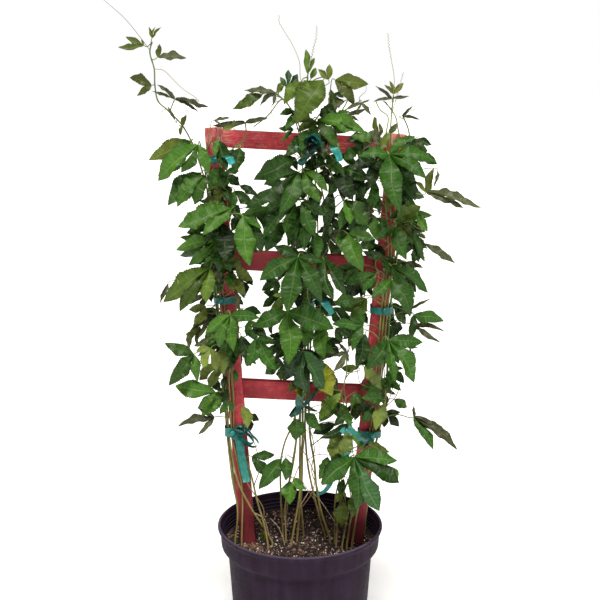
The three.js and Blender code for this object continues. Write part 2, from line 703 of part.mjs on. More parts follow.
// One row a leaf: [x, z, y, width, [dx, dz, ...]]. The hub, where the petiole meets the blade,
// stands at x, z, y; each dx, dz pair is the tip of one lobe as seen from the front, and width is
// the half breadth of a lobe over its length.
const LEAVES = {
  L: [
    // rising shoot
    [-242, 1031, -14, 0.16, [-39, -5, -28, 12, -4, 9]],
    [-229, 1042, -13, 0.14, [-5, 17, 5, 17, 15, 16]],
    [-221, 1013, -16, 0.2, [2, 20, 45, -2]],
    [-232, 970, -12, 0.22, [-34, 11, -22, -17]],
    [-196, 949, -20, 0.09, [-28, 22, -35, 13, 53, -15, 37, -20]],
    [-197, 917, -22, 0.16, [-11, 22]],
    [-186, 907, -20, 0.24, [8, 17, -3, -14]],
    // head of the left column
    [-173, 884, -20, 0.2, [-65, -30, -50, -56]],
    [-161, 878, -46, 0.21, [-64, -55, -26, -44, 17, -45]],
    [-151, 830, -42, 0.23, [-46, -46, -13, -45]],
    [-157, 834, -22, 0.22, [-51, -50]],
    [-127, 884, -34, 0.2, [14, -47]],
    [-131, 886, -24, 0.22, [-2, -26]],
    [-86, 912, -12, 0.1, [-52, -4, 37, 8]],
    [-106, 905, -20, 0.26, [-17, -2, 2, 12]],
    [-110, 777, -54, 0.2, [-83, -33, -43, -43]],
    [-127, 755, -44, 0.24, [7, -62, -24, -30]],
    [-91, 765, -60, 0.18, [10, -79, 30, -21, 43, 14]],
    [-135, 726, -30, 0.2, [-64, -14, -43, -38, -16, -36]],
    [-146, 680, -40, 0.22, [-73, -54, -48, -66, -5, -54]],
    [-105, 696, -46, 0.5, [-8, -15, 9, -15]],
    // middle and foot of the left column
    [-144, 603, -16, 0.16, [-34, -24, -23, -38]],
    [-114, 602, -56, 0.2, [-41, -31, -20, -52, 7, -58, 49, -3]],
    [-175, 535, -36, 0.19, [-48, 19, -40, -46, 7, -42]],
    [-147, 545, -50, 0.3, [-24, -4, -12, -30, 10, -35]],
    [-129, 549, -30, 0.18, [4, -42]],
    [-140, 470, -40, 0.19, [-70, 8, -31, -28]],
    [-143, 427, -28, 0.11, [-60, -10, -27, -26, -28, 15]],
    [-71, 562, -46, 0.2, [-21, 14, -17, -44, 31, -52, 32, -5]],
    [-81, 357, -34, 0.22, [39, -1, 30, -36]],
    [-150, 640, -18, 0.18, [-30, -20, -12, -36]],
    // small leaves between the larger ones
    [-75, 773, -40, 0.22, [14, -62, 32, -36]],
    [-104, 805, -30, 0.24, [30, -22, -4, -35]],
    [-137, 517, -22, 0.26, [-30, -26, -11, -38]],
    [-97, 567, -26, 0.26, [16, -49]],
    [-133, 471, -18, 0.26, [-29, -37]],
    [-95, 873, -22, 0.26, [-7, -38]],
    [-104, 680, -28, 0.24, [27, -21]],
    [-152, 752, -18, 0.3, [-31, -15]],
    [-139, 578, -18, 0.3, [-17, -25]],
  ],
  C: [
    // head of the middle bundle
    [36, 978, -38, 0.27, [-42, -68]],
    [-19, 966, -22, 0.27, [-12, 17, 0, 27, 15, 21]],
    [-59, 956, -18, 0.18, [-46, -24]],
    [-38, 959, -24, 0.16, [-50, 2, -25, -20, -5, -20]],
    [-36, 959, -14, 0.24, [12, 17]],
    [44, 979, -14, 0.24, [-16, 16, 2, 23]],
    [55, 978, -16, 0.2, [53, -6, 31, -38]],
    [53, 946, -20, 0.24, [-5, 17, 15, 1]],
    [97, 943, -16, 0.2, [-25, -10, -9, -12, 12, 5, 14, -19]],
    [28, 918, -42, 0.2, [72, -24, 30, -44]],
    [31, 897, -52, 0.22, [32, -38, 6, -42]],
    [12, 988, -18, 0.13, [-3, 38, 11, 26]],
    [3, 976, -28, 0.24, [-28, -34, -2, -50]],
    [19, 916, -24, 0.22, [-24, -18, -34, 6]],
    // middle bundle down to the middle rung
    [-10, 853, -32, 0.22, [-64, -28]],
    [-2, 835, -50, 0.19, [-30, -66, -84, -58, -56, -20]],
    [-8, 786, -58, 0.22, [-50, -56, -58, -20, -16, -48]],
    [2, 787, -60, 0.2, [22, -56, 40, -22]],
    [7, 835, -46, 0.21, [37, -29, 26, -48]],
    [-3, 698, -66, 0.19, [-40, 17, -61, -39, -17, -88, 38, -68, 42, -8]],
    [64, 841, -38, 0.24, [48, -16, 20, -50]],
    [71, 790, -50, 0.26, [37, -42, 8, -38]],
    [39, 693, -48, 0.21, [34, -49, 14, -58]],
    [77, 736, -54, 0.24, [23, -56, 42, -6]],
    [22, 740, -34, 0.2, [-30, -30, 8, -44]],
    // middle bundle down to the lower rung
    [-21, 607, -60, 0.24, [-55, -21, 1, -82, 77, -28]],
    [28, 597, -46, 0.22, [-22, -46, 12, -62]],
    [0, 541, -46, 0.24, [-30, -50, 14, -68, 34, -12]],
    [35, 519, -62, 0.28, [17, -48]],
    [-1, 492, -26, 0.26, [-2, -30]],
    [-50, 590, -36, 0.18, [-32, -8, 4, -20]],
    // low leaves of the middle stems
    [-7, 424, -46, 0.38, [0, -33]],
    [8, 434, -40, 0.22, [26, -29]],
    [7, 446, -30, 0.16, [24, -6]],
    [-17, 313, -30, 0.36, [0, -38]],
    [-12, 317, -40, 0.26, [24, -15]],
    [-24, 355, -26, 0.27, [0, -34]],
    [-32, 353, -22, 0.2, [-37, -43]],
    // small leaves between the larger ones
    [65, 864, -24, 0.2, [-27, -22, 27, -19]],
    [73, 838, -20, 0.24, [-28, -41, -4, -49]],
    [83, 787, -34, 0.26, [-22, -42, -1, -50]],
    [49, 806, -26, 0.15, [-8, -66]],
    [5, 768, -34, 0.24, [-23, -52, 3, -57]],
    [-29, 755, -26, 0.24, [-26, -45]],
    [75, 395, -26, 0.42, [-20, -41]],
    [70, 946, -22, 0.22, [-38, -19]],
    [59, 415, -22, 0.22, [-38, -18]],
    [63, 543, -26, 0.24, [-41, -19]],
  ],
  R: [
    // top shoots of the right column
    [146, 957, -15, 0.16, [-15, 13, -6, 20, 17, 17]],
    [144, 950, -22, 0.12, [-26, 20, -30, -5, 27, 3]],
    [160, 923, -2, 0.07, [18, 16, 29, -6]],
    [139, 938, -12, 0.1, [-9, 8]],
    // head of the right column
    [141, 863, -62, 0.19, [-49, -6, 14, -84, 57, -39, 74, -9, 32, 30]],
    [150, 855, -40, 0.2, [30, -64, -4, -40]],
    [201, 803, -12, 0.13, [14, 36, 85, -24, 58, -27, -20, 17]],
    [155, 760, -42, 0.28, [39, 20]],
    [152, 747, -54, 0.22, [-32, -19, 18, -51]],
    [175, 748, -26, 0.14, [22, -51, 5, -28]],
    [201, 720, -18, 0.11, [50, -31]],
    [126, 891, -26, 0.24, [-9, 30, -1, 20]],
    [124, 886, -34, 0.2, [-46, 3]],
    [123, 853, -28, 0.22, [-45, -15, -14, -42]],
    [136, 697, -36, 0.2, [-34, 9]],
    [112, 770, -34, 0.22, [-30, -40, 14, -46]],
    // middle of the right column
    [148, 660, -52, 0.21, [-34, -27, 31, -55]],
    [148, 684, -36, 0.2, [58, -45, 38, -52]],
    [181, 612, -14, 0.12, [33, 16]],
    [123, 670, -48, 0.2, [-50, -18, -22, -30]],
    [103, 584, -46, 0.19, [-51, 2, -26, 17, -4, 30, -18, -41]],
    [90, 629, -44, 0.3, [-34, -9]],
    [145, 559, -58, 0.22, [-36, -41, 8, -64, 37, -68, 58, -7]],
    [186, 602, -22, 0.19, [51, -12, -8, -40]],
    [184, 586, -8, 0.1, [52, -9, 45, -26]],
    [180, 546, -20, 0.12, [16, 3, 8, -16]],
    [106, 513, -50, 0.24, [28, -38]],
    [138, 458, -44, 0.26, [-36, 3]],
    [140, 450, -34, 0.24, [-15, -42]],
    [117, 440, -36, 0.26, [-15, -22]],
    // free lateral between the lower rung and the middle one
    [77, 539, -34, 0.2, [-23, -29, -24, -5, 3, -16, -15, 16]],
    [96, 512, -34, 0.22, [-28, -2, -3, 15]],
    [63, 452, -32, 0.18, [-32, -31, 24, -29]],
    [84, 415, -38, 0.12, [-53, -19]],
    // low leaves of the right stems
    [91, 356, -78, 0.24, [-57, -40, 4, -78, 40, -82, 74, -42, 72, -9]],
    [114, 382, -50, 0.2, [37, -18]],
    [74, 354, -56, 0.33, [8, 44]],
    [88, 404, -44, 0.22, [17, -30]],
    [190, 427, -18, 0.15, [0, 17, 48, -16, 70, -52, 31, -50]],
    // small leaves between the larger ones
    [118, 822, -30, 0.22, [-31, -37, -9, -51]],
    [82, 365, -44, 0.25, [-50, -45]],
    [109, 629, -32, 0.22, [-45, -18, -27, -40]],
    [104, 657, -26, 0.3, [-32, -20]],
    [107, 570, -30, 0.24, [-14, -53]],
    [121, 727, -30, 0.3, [-27, -15]],
    [164, 590, -24, 0.26, [-18, -24]],
  ],
};

// Leaves on the far side of the columns, laid out by rule: [column, first height, last height,
// leaves].
const BACK_LEAVES = [['L', 440, 850, 6], ['C', 520, 860, 5], ['R', 470, 850, 6]];
BACK_LEAVES.forEach(([column, from, to, count], c) => {
  for (let i = 0; i < count; i += 1) {
    const k = 40 * c + i;
    const z = from + ((to - from) * (i + 0.6 * draw(k, 1))) / count;
    const out = column === 'L' ? -1 : column === 'R' ? 1 : i % 2 ? 1 : -1;
    const reach = 42 + 18 * draw(k, 2);
    const x = COLUMN[column](z) + out * (17 + 12 * draw(k, 3));
    const lobes = [0.8, 1, 0.8].flatMap((f, j) => {
      const a = -1.75 + out * (0.75 - 0.62 * (j - 1)) - 0.3 * draw(k, 4);
      return [reach * f * Math.cos(a), reach * f * Math.sin(a)];
    });
    LEAVES[column].push([x, z, 44 + 10 * draw(k, 5), 0.2, lobes]);
  }
});

// The blade of a leaf as flat outline, arch and fold. The lobes fan out from the hub in the plane
// that leans by `lean` (depth gained per mm to the right and per mm up). Every lobe has a midrib
// that arches up and comes back to the plane at the tip, and margins raised beside it.
function bladeFrame(hub, lean) {
  const n = vec(lean[0], -1, lean[1]).normalize();
  const e = vec(1, lean[0], 0).normalize();
  const f = n.clone().cross(e);
  return { hub, n, e, f };
}

function bladeFacets(frame, lobes, width, seed) {
  const { hub, n, e, f } = frame;
  const at = (u, v, h) => hub.clone()
    .addScaledVector(e, u).addScaledVector(f, v).addScaledVector(n, h);
  const base = lobes[0].a - lobes[0].before;
  const [bu, bv] = [Math.cos(base), Math.sin(base)];
  const top = [hub.clone(), at(1.1 * bu - bv, 1.1 * bv + bu, 0), at(1.1 * bu + bv, 1.1 * bv - bu, 0)];
  const faces = [[0, 2, 1]];
  const ring = [];
  const add = (u, v, h) => top.push(at(u, v, h)) - 1;
  const count = lobes.length;
  const sinus = [1];
  for (let i = 1; i < count; i += 1) {
    const gap = lobes[i].a - lobes[i - 1].a;
    const a = (lobes[i].a + lobes[i - 1].a) / 2;
    const d = ((lobes[i].l + lobes[i - 1].l) / 2) * Math.min(0.26, Math.max(0.07, 0.3 - 0.1 * gap));
    sinus.push(add(d * Math.cos(a), d * Math.sin(a), 0.03 * d));
  }
  sinus.push(2);
  lobes.forEach((lobe, i) => {
    const { a, l } = lobe;
    const c = Math.cos(a);
    const s = Math.sin(a);
    const arch = 0.1 + 0.08 * draw(seed, 20 + i);
    const fold = 0.14 + 0.2 * draw(seed, 30 + i);
    const on = (t, w, h) => add(t * l * c - w * s, t * l * s + w * c, h);
    const short = l < SHORT_LOBE;
    const stations = l > LONG_LOBE ? [0.34, 0.66] : [0.42];
    const shares = l > LONG_LOBE ? [1, 0.8] : [1];
    const rows = stations.map((t, j) => {
      const h = 4 * t * (1 - t) * arch * l;
      const wave = (k) => 0.05 * l * (draw(seed, 50 + 10 * i + 4 * j + k) - 0.5);
      const most = t * l * 0.94;
      const broad = FULLNESS * width * l * shares[j];
      const wr = Math.min(broad, most * Math.tan(Math.min(lobe.before, 1.2)));
      const wl = Math.min(broad, most * Math.tan(Math.min(lobe.after, 1.2)));
      return [on(t, -wr, h + fold * wr + wave(0)), short ? null : on(t, 0, h),
        on(t, wl, h + fold * wl + wave(1))];
    });
    const tip = on(1, 0, 0);
    const [r0, m0, l0] = rows[0];
    const from = sinus[i];
    const to = sinus[i + 1];
    let [r, m, q] = rows[0];
    if (short) faces.push([0, from, r0], [0, r0, tip], [0, tip, l0], [0, l0, to]);
    else faces.push([0, from, m0], [from, r0, m0], [0, m0, to], [to, m0, l0]);
    if (rows[1]) {
      const [r1, m1, l1] = rows[1];
      faces.push([r0, r1, m1], [r0, m1, m0], [l0, m1, l1], [l0, m0, m1]);
      [r, m, q] = rows[1];
    }
    if (!short) faces.push([r, tip, m], [m, tip, q]);
    ring.push(from, r0);
    if (rows[1]) ring.push(r);
    ring.push(tip);
    if (rows[1]) ring.push(q);
    ring.push(l0);
  });
  ring.push(2);
  const half = n.clone().multiplyScalar(BLADE_THICK / 2);
  const low = top.length;
  const points = [...top.map((p) => p.clone().add(half)), ...top.map((p) => p.clone().sub(half))];
  const all = [];
  faces.forEach(([a, b, c]) => all.push([a, b, c], [a + low, c + low, b + low]));
  const wall = (a, b) => [[a, a + low, b + low], [a, b + low, b]];
  for (let i = 0; i + 1 < ring.length; i += 1) all.push(...wall(ring[i], ring[i + 1]));
  const foot = hub.clone().addScaledVector(e, 5 * bu).addScaledVector(f, 5 * bv);
  return { points, all, low, end: wall(2, 1), foot };
}

// The blade with its petiole grown onto the base: a three sided stalk from inside the stem that
// comes round to the middle of the base and widens into it.
function leafSolid(frame, blade, path, r) {
  const points = blade.points.slice();
  const all = blade.all.slice();
  const { low } = blade;
  let up = frame.n.clone();
  let next = null;
  for (let j = path.length - 1; j >= 0; j -= 1) {
    const ahead = j + 1 < path.length ? path[j + 1] : frame.hub;
    const back = path[Math.max(j - 1, 0)];
    const along = ahead.clone().sub(back).normalize();
    up = up.clone().addScaledVector(along, -up.dot(along)).normalize();
    const wide = along.clone().cross(up);
    const size = r * (1 - (0.28 * j) / path.length);
    const [a, b, c] = [[0.87, 0.5], [-0.87, 0.5], [0, -1]].map(([u, v]) => points.push(path[j].clone()
      .addScaledVector(wide, u * size).addScaledVector(up, v * size)) - 1);
    if (next) {
      const [p, q, t] = next;
      all.push([a, p, q], [a, q, b], [b, q, t], [b, t, c], [c, t, p], [c, p, a]);
    } else {
      all.push([a, 1, 2], [a, 2, b], [b, 2, 2 + low], [b, 2 + low, c], [c, 2 + low, 1 + low],
        [c, 1 + low, 1], [c, 1, a]);
    }
    next = [a, b, c];
  }
  all.push(next);
  return facets(points, all);
}

// Lobe tips as angles and lengths in the leaf's own plane, in order round the hub from one side
// of the petiole to the other, with the room that each has before and after it.
function lobesOf(frame, tips, scale) {
  const list = [];
  for (let i = 0; i < tips.length; i += 2) {
    const d = vec(tips[i], 0, tips[i + 1]).multiplyScalar(scale);
    d.y = (frame.n.x * d.x + frame.n.z * d.z) / -frame.n.y;
    const u = d.dot(frame.e);
    const v = d.dot(frame.f);
    list.push({ a: Math.atan2(v, u), l: Math.hypot(u, v) });
  }
  list.sort((p, q) => p.a - q.a);
  let widest = 0;
  let first = 0;
  list.forEach((p, i) => {
    const q = list[(i + 1) % list.length];
    const gap = list.length === 1 ? 2 * Math.PI : (q.a - p.a + 2 * Math.PI) % (2 * Math.PI);
    if (gap > widest) {
      widest = gap;
      first = (i + 1) % list.length;
    }
  });
  const order = list.map((_, i) => ({ ...list[(first + i) % list.length] }));
  order.forEach((p, i) => {
    if (i && p.a < order[i - 1].a) p.a += 2 * Math.PI;
  });
  order.forEach((p, i) => {
    p.before = i ? (p.a - order[i - 1].a) / 2 : widest / 2;
    p.after = i + 1 < order.length ? (order[i + 1].a - p.a) / 2 : widest / 2;
  });
  return order;
}

// The petiole leaves the stem a little below the hub, `slide` mm along from its best place.
function petiolePath(stem, hub, foot, slide) {
  const { path } = stem;
  const sums = [0];
  for (let i = 1; i < path.length; i += 1) sums.push(sums[i - 1] + path[i].distanceTo(path[i - 1]));
  const along = (s) => {
    let i = 1;
    while (i < path.length - 1 && sums[i] < s) i += 1;
    return path[i - 1].clone().lerp(path[i], (s - sums[i - 1]) / (sums[i] - sums[i - 1]));
  };
  const end = sums[sums.length - 1];
  let best = 0;
  let near = Infinity;
  for (let s = sums[1] + 6; s <= end; s += 4) {
    const d = along(s).distanceTo(hub);
    if (d < near) {
      near = d;
      best = s;
    }
  }
  const root = along(Math.min(Math.max(best + slide - 0.3 * near, sums[1] + 6), end - 1));
  if (root.distanceTo(foot) < 32) return [root, foot];
  const mid = root.clone().lerp(foot, 0.5);
  mid.z += 0.12 * root.distanceTo(foot);
  return [root, mid, foot];
}

// How far a point is from a stem above the soil.
function distanceTo(stem, point) {
  const { path } = stem;
  const steps = path.slice(2).map((p, i) => new THREE.Line3(path[i + 1], p));
  return Math.min(...steps.map((s) => s.closestPointToPoint(point, true, vec(0, 0, 0)).distanceTo(point)));
}

// A new piece is clear when it keeps a hair's breadth from everything but what it grows from.
function near(a, b) {
  for (let i = 0; i < 3; i += 1) {
    if (a.min[i] > b.max[i] + LEAF_GAP || b.min[i] > a.max[i] + LEAF_GAP) return false;
  }
  return true;
}
const boxed = (solid) => ({ solid, box: solid.boundingBox() });
const fixedBoxes = fixed.map(boxed);
for (const id of Object.keys(stems)) stems[id].boxes = stems[id].pieces.map(boxed);

function clear(solid, root) {
  const box = solid.boundingBox();
  const free = (other) => !near(box, other.box) || solid.minGap(other.solid, 1) >= LEAF_GAP;
  if (!fixedBoxes.every(free)) return false;
  return Object.keys(stems).every((k) => stems[k].boxes.every((b, i) => (k === root && i === 0) || free(b)));
}

function join(id, solid) {
  stems[id].pieces.push(solid);
  stems[id].boxes.push(boxed(solid));
}

// ---------------------------------------------------------------- tendrils

// Slender tendrils reaching out of the shoots: [stem, y, [x, z, ...]] from the root to the tip.
const TENDRILS = [
  ['L1', -13, [-233, 1024, -248, 1044, -270, 1071, -290, 1089, -302, 1099, -309, 1103, -311, 1099]],
  ['L1', -15, [-227, 995, -213, 993, -199, 980, -186, 967, -172, 957, -163, 951, -158, 945]],
  ['C3', -18, [11, 958, 1, 980, -1, 1006, -13, 1034, -25, 1053, -32, 1066, -32, 1076]],
  ['C3', -18, [12, 984, 16, 1000, 21, 1027, 25, 1042, 26, 1060]],
  ['R3', -15, [145, 949, 147, 980, 142, 1009, 138, 1030, 136, 1049]],
  ['R3', -15, [144, 925, 153, 958, 161, 990]],
  ['R1', 0, [160, 918, 170, 929, 182, 933, 195, 936]],
  ['R2', -8, [155, 868, 172, 876, 183, 882, 195, 890]],
  ['R1', 0, [162, 752, 178, 755, 186, 747, 198, 743, 210, 750]],
  ['C6', -10, [95, 943, 93, 951, 103, 962, 103, 971]],
  ['C1', -11, [-27, 949, -44, 940, -45, 928, -35, 915, -24, 912, -14, 916]],
  ['L2', -10, [-139, 656, -152, 645, -163, 620, -170, 600]],
];

TENDRILS.forEach(([id, y, flat]) => {
  const pts = [];
  for (let i = 0; i < flat.length; i += 2) pts.push(seen(flat[i], flat[i + 1], y));
  let root = stems[id].path[1];
  stems[id].path.forEach((p, i, all) => {
    if (i < 2) return;
    for (let t = 0; t < 1; t += 0.1) {
      const q = all[i - 1].clone().lerp(p, t);
      if (q.distanceTo(pts[0]) < root.distanceTo(pts[0])) root = q;
    }
  });
  pts[0] = root;
  const curve = new THREE.CatmullRomCurve3(pts, false, 'centripetal');
  const line = thinned(curve.getSpacedPoints(40), 0.7);
  const solid = tube(line, (t) => 0.6 - 0.15 * t, 3);
  if (clear(solid, id)) join(id, solid);
});

// Each leaf grows from the nearest stem of its column. Where it would touch a neighbour it is
// swung clear: its petiole slides along the stem, then the leaf moves in or out, then shrinks.
const SLIDES = [0, 12, -12, 26, -26];
const SWINGS = [0, -5, 5, -10, 10, -16, 16, -23, 23, -31, -40];
const SHRINKS = [1, 0.8, 0.62];

function growLeaf(column, row, seed) {
  const [x, z, y, width, tips] = row;
  const lean = [0.6 * (draw(seed, 1) - 0.5), (y > 20 ? -1 : 1) * (0.15 + 0.45 * draw(seed, 2))];
  for (const shrink of SHRINKS) {
    for (const swing of SWINGS) {
      const depth = y + swing;
      const hub = y > 20 ? vec(x, depth, z) : seen(x, z, depth);
      const frame = bladeFrame(hub, lean);
      const scale = (shrink * (EYE_BACK + depth)) / EYE_BACK;
      const lobes = lobesOf(frame, tips, scale);
      const blade = bladeFacets(frame, lobes, width, seed);
      if (!clear(facets(blade.points, [...blade.all, ...blade.end]), null)) continue;
      const ids = Object.keys(stems).filter((id) => id[0] === column)
        .map((id) => [id, distanceTo(stems[id], hub)])
        .sort((a, b) => a[1] - b[1])
        .filter((a, i, all) => i < 4 && a[1] < all[0][1] + 22).map((a) => a[0]);
      const r = Math.max(...lobes.map((p) => p.l)) > 40 ? 1.25 : 1;
      for (const id of ids) {
        for (const slide of SLIDES) {
          const path = petiolePath(stems[id], hub, blade.foot, slide);
          const leaf = leafSolid(frame, blade, path, r);
          if (clear(leaf, id)) {
            join(id, leaf);
            return;
          }
        }
      }
    }
  }
}

for (const column of Object.keys(LEAVES)) {
  const rank = LEAVES[column].map((row, i) => [i, Math.max(...row[4].map(Math.abs))]);
  rank.sort((a, b) => b[1] - a[1] || a[0] - b[0]);
  for (const [i] of rank) {
    const seed = 100 * column.charCodeAt(0) + i;
    growLeaf(column, LEAVES[column][i], seed);
  }
}

for (const id of Object.keys(stems)) {
  place(`vine_${id}`, wasm.Manifold.union(stems[id].pieces).simplify(0.05), LEAF_GREEN);
}

export default group;
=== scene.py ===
import math

import bpy
import numpy as np
from mathutils.kdtree import KDTree
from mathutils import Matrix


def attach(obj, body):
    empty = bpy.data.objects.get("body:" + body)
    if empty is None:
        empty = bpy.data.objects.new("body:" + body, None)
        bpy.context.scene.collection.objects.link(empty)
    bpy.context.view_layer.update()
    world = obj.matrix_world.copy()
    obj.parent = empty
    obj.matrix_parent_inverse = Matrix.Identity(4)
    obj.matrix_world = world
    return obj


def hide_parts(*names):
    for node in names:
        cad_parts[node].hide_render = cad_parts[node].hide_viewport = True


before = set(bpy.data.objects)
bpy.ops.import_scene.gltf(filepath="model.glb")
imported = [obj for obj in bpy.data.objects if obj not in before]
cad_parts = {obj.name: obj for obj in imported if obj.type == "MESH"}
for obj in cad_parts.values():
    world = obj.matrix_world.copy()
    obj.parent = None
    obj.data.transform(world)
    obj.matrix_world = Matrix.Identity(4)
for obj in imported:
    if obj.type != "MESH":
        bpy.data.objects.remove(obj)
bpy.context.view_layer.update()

# ---------------------------------------------------------------- studio
# A plain white floor under an even white sky, a broad soft sun high in front of the plant and a
# weaker square panel at its front right. The lens looks down a little on the trellis.

MM = 0.001


def linear(code):
    """The linear colour of an sRGB hex code: each channel is divided by 12.92 where it is very
    dark, and otherwise is ((c + 0.055) / 1.055) to the power of 2.4."""
    c = np.array([int(code[i:i + 2], 16) / 255 for i in (1, 3, 5)])
    c = np.where(c <= 0.04045, c / 12.92, ((c + 0.055) / 1.055) ** 2.4)
    return (*c.tolist(), 1.0)


def feed(node, values):
    """Sets inputs of a node to values or links them to outputs. A dictionary gives the inputs by
    name, and a list gives them in their order."""
    for key, value in values.items() if isinstance(values, dict) else enumerate(values):
        if isinstance(value, bpy.types.NodeSocket):
            node.id_data.links.new(value, node.inputs[key])
        else:
            node.inputs[key].default_value = value


def add(tree, kind, out, values=None, stops=(), **settings):
    """Adds one shader node and gives back its output of a name or number. The settings are its own
    options, values feed its inputs, and stops are a colour ramp's (place, hex code) pairs. A
    MapRange node's values are its input, the span that it comes from and the one it goes to."""
    made = tree.nodes.new("ShaderNode" + kind)
    for key, value in settings.items():
        setattr(made, key, value)
    feed(made, values or {})
    bar = made.color_ramp.elements if stops else ()
    while len(bar) < len(stops):
        bar.new(0.5)
    for stop, (place, code) in zip(bar, stops):
        stop.position = place
        stop.color = linear(code)
    return made.outputs[out]


def new_finish(name):
    """A new material, its node tree and its shader."""
    made = bpy.data.materials.new(name)
    made.use_nodes = True
    return made, made.node_tree, made.node_tree.nodes["Principled BSDF"]


# Matt white paint on a seamless floor, faintly mottled by the roller and glowing a little, so that
# it stays white under the plant.
FLOOR_GLOW = 0.44
floor_paint, tree, shader = new_finish("matt_floor_paint")
where = add(tree, "TexCoord", "Object")
mottle = add(tree, "TexNoise", "Fac", {"Vector": where, "Scale": 60.0, "Detail": 3.0})
tint = add(tree, "ValToRGB", "Color", {"Fac": mottle}, stops=[(0.3, "#f1f1f0"), (0.7, "#f6f6f5")])
feed(shader, {"Base Color": tint, "Roughness": 0.9,
              "Emission Color": linear("#ffffff"), "Emission Strength": FLOOR_GLOW})

FLOOR_REACH = 30.0
floor_mesh = bpy.data.meshes.new("studio_floor")
floor_mesh.from_pydata([(-FLOOR_REACH, -FLOOR_REACH, 0), (FLOOR_REACH, -FLOOR_REACH, 0),
                        (FLOOR_REACH, FLOOR_REACH, 0), (-FLOOR_REACH, FLOOR_REACH, 0)],
                       [], [(0, 1, 2, 3)])
floor_mesh.materials.append(floor_paint)
floor = bpy.data.objects.new("studio_floor", floor_mesh)
bpy.context.scene.collection.objects.link(floor)

# The sky's strength where it lights the plant, and where it is looked at.
SKY_LIGHT = 0.08
SKY_SEEN = 1.0
sky = bpy.data.worlds.new("studio_sky")
sky.use_nodes = True
tree = sky.node_tree
ray = add(tree, "LightPath", "Is Camera Ray")
glow = add(tree, "MapRange", 0, [ray, 0.0, 1.0, SKY_LIGHT, SKY_SEEN])
feed(tree.nodes["Background"], {"Color": linear("#ffffff"), "Strength": glow})
bpy.context.scene.world = sky
bpy.context.scene.view_settings.view_transform = "Standard"


# How far off the lamps hang, and the height that they shine at, in metres.
LAMP_AWAY = 2.5
LAMP_AIM = 0.6


def hang_lamp(name, kind, way, strength, size, code):
    """A soft lamp shining along a direction (x, y, z) at the middle of the plant, 0.6 m up: a
    broad sun, whose size is the angle it fills, or a square panel 2.5 m away, whose size is its
    side."""
    lamp = bpy.data.lights.new(name, kind)
    lamp.energy = strength
    lamp.color = linear(code)[:3]
    if kind == "SUN":
        lamp.angle = size
    else:
        lamp.shape, lamp.size = "SQUARE", size
    holder = bpy.data.objects.new(name, lamp)
    way = np.array(way) / np.linalg.norm(way)
    holder.location = (-LAMP_AWAY * way + [0, 0, LAMP_AIM]).tolist()
    holder.rotation_euler = (math.atan2(math.hypot(way[0], way[1]), -way[2]), 0,
                             math.atan2(-way[0], way[1]))
    bpy.context.scene.collection.objects.link(holder)


hang_lamp("overhead_sun", "SUN", (0.02, 0.5, -1.0), strength=4.3, size=math.radians(20), code="#fffaf0")
hang_lamp("front_panel", "AREA", (-0.6, 1.0, -0.45), strength=12.0, size=1.4, code="#f4f7ff")

# The eye's distance and height in mm, the width of its picture and its lens in mm, and how many
# degrees it looks down.
EYE_BACK = 1700.0
EYE_UP = 997.0
EYE_WIDTH = 36.0
EYE_LENS = 64.04
EYE_DOWN = 12.28
lens = bpy.data.cameras.new("front_lens")
lens.sensor_width = EYE_WIDTH
lens.lens = EYE_LENS
eye = bpy.data.objects.new("front_lens", lens)
eye.location = (0, -EYE_BACK * MM, EYE_UP * MM)
eye.rotation_euler = (math.radians(90 - EYE_DOWN), 0, 0)
bpy.context.scene.collection.objects.link(eye)
bpy.context.scene.camera = eye


# ---------------------------------------------------------------- nursery pot
# A thin blow-moulded polyethylene pot: a tapered body, a step out to the collar, a rolled rim
# and stacking ridges inside it. Six drain slots are punched through the lower corner.

def draw(item, k):
    """A repeatable draw between 0 and 1: the fraction of a sine wave blown up 43758 times."""
    s = np.sin(np.asarray(item, float) * 12.9898 + k * 78.233) * 43758.5453
    return s - np.floor(s)


def lumps(points, size, seed):
    """Smooth random height from -1 to 1 at points (..., 3) in mm: a draw at each corner of a
    lattice of the given spacing, blended between the corners by the ease 3t^2 - 2t^3."""
    cell = np.asarray(points, float) / size
    base = np.floor(cell)
    t = cell - base
    t = t * t * (3 - 2 * t)
    total = 0
    for corner in np.ndindex(2, 2, 2):
        c = np.array(corner)
        weight = np.prod(np.where(c == 1, t, 1 - t), axis=-1)
        total = total + weight * draw((base + c) @ np.array([12.71, 31.17, 7.47]), seed)
    return 2 * total - 1


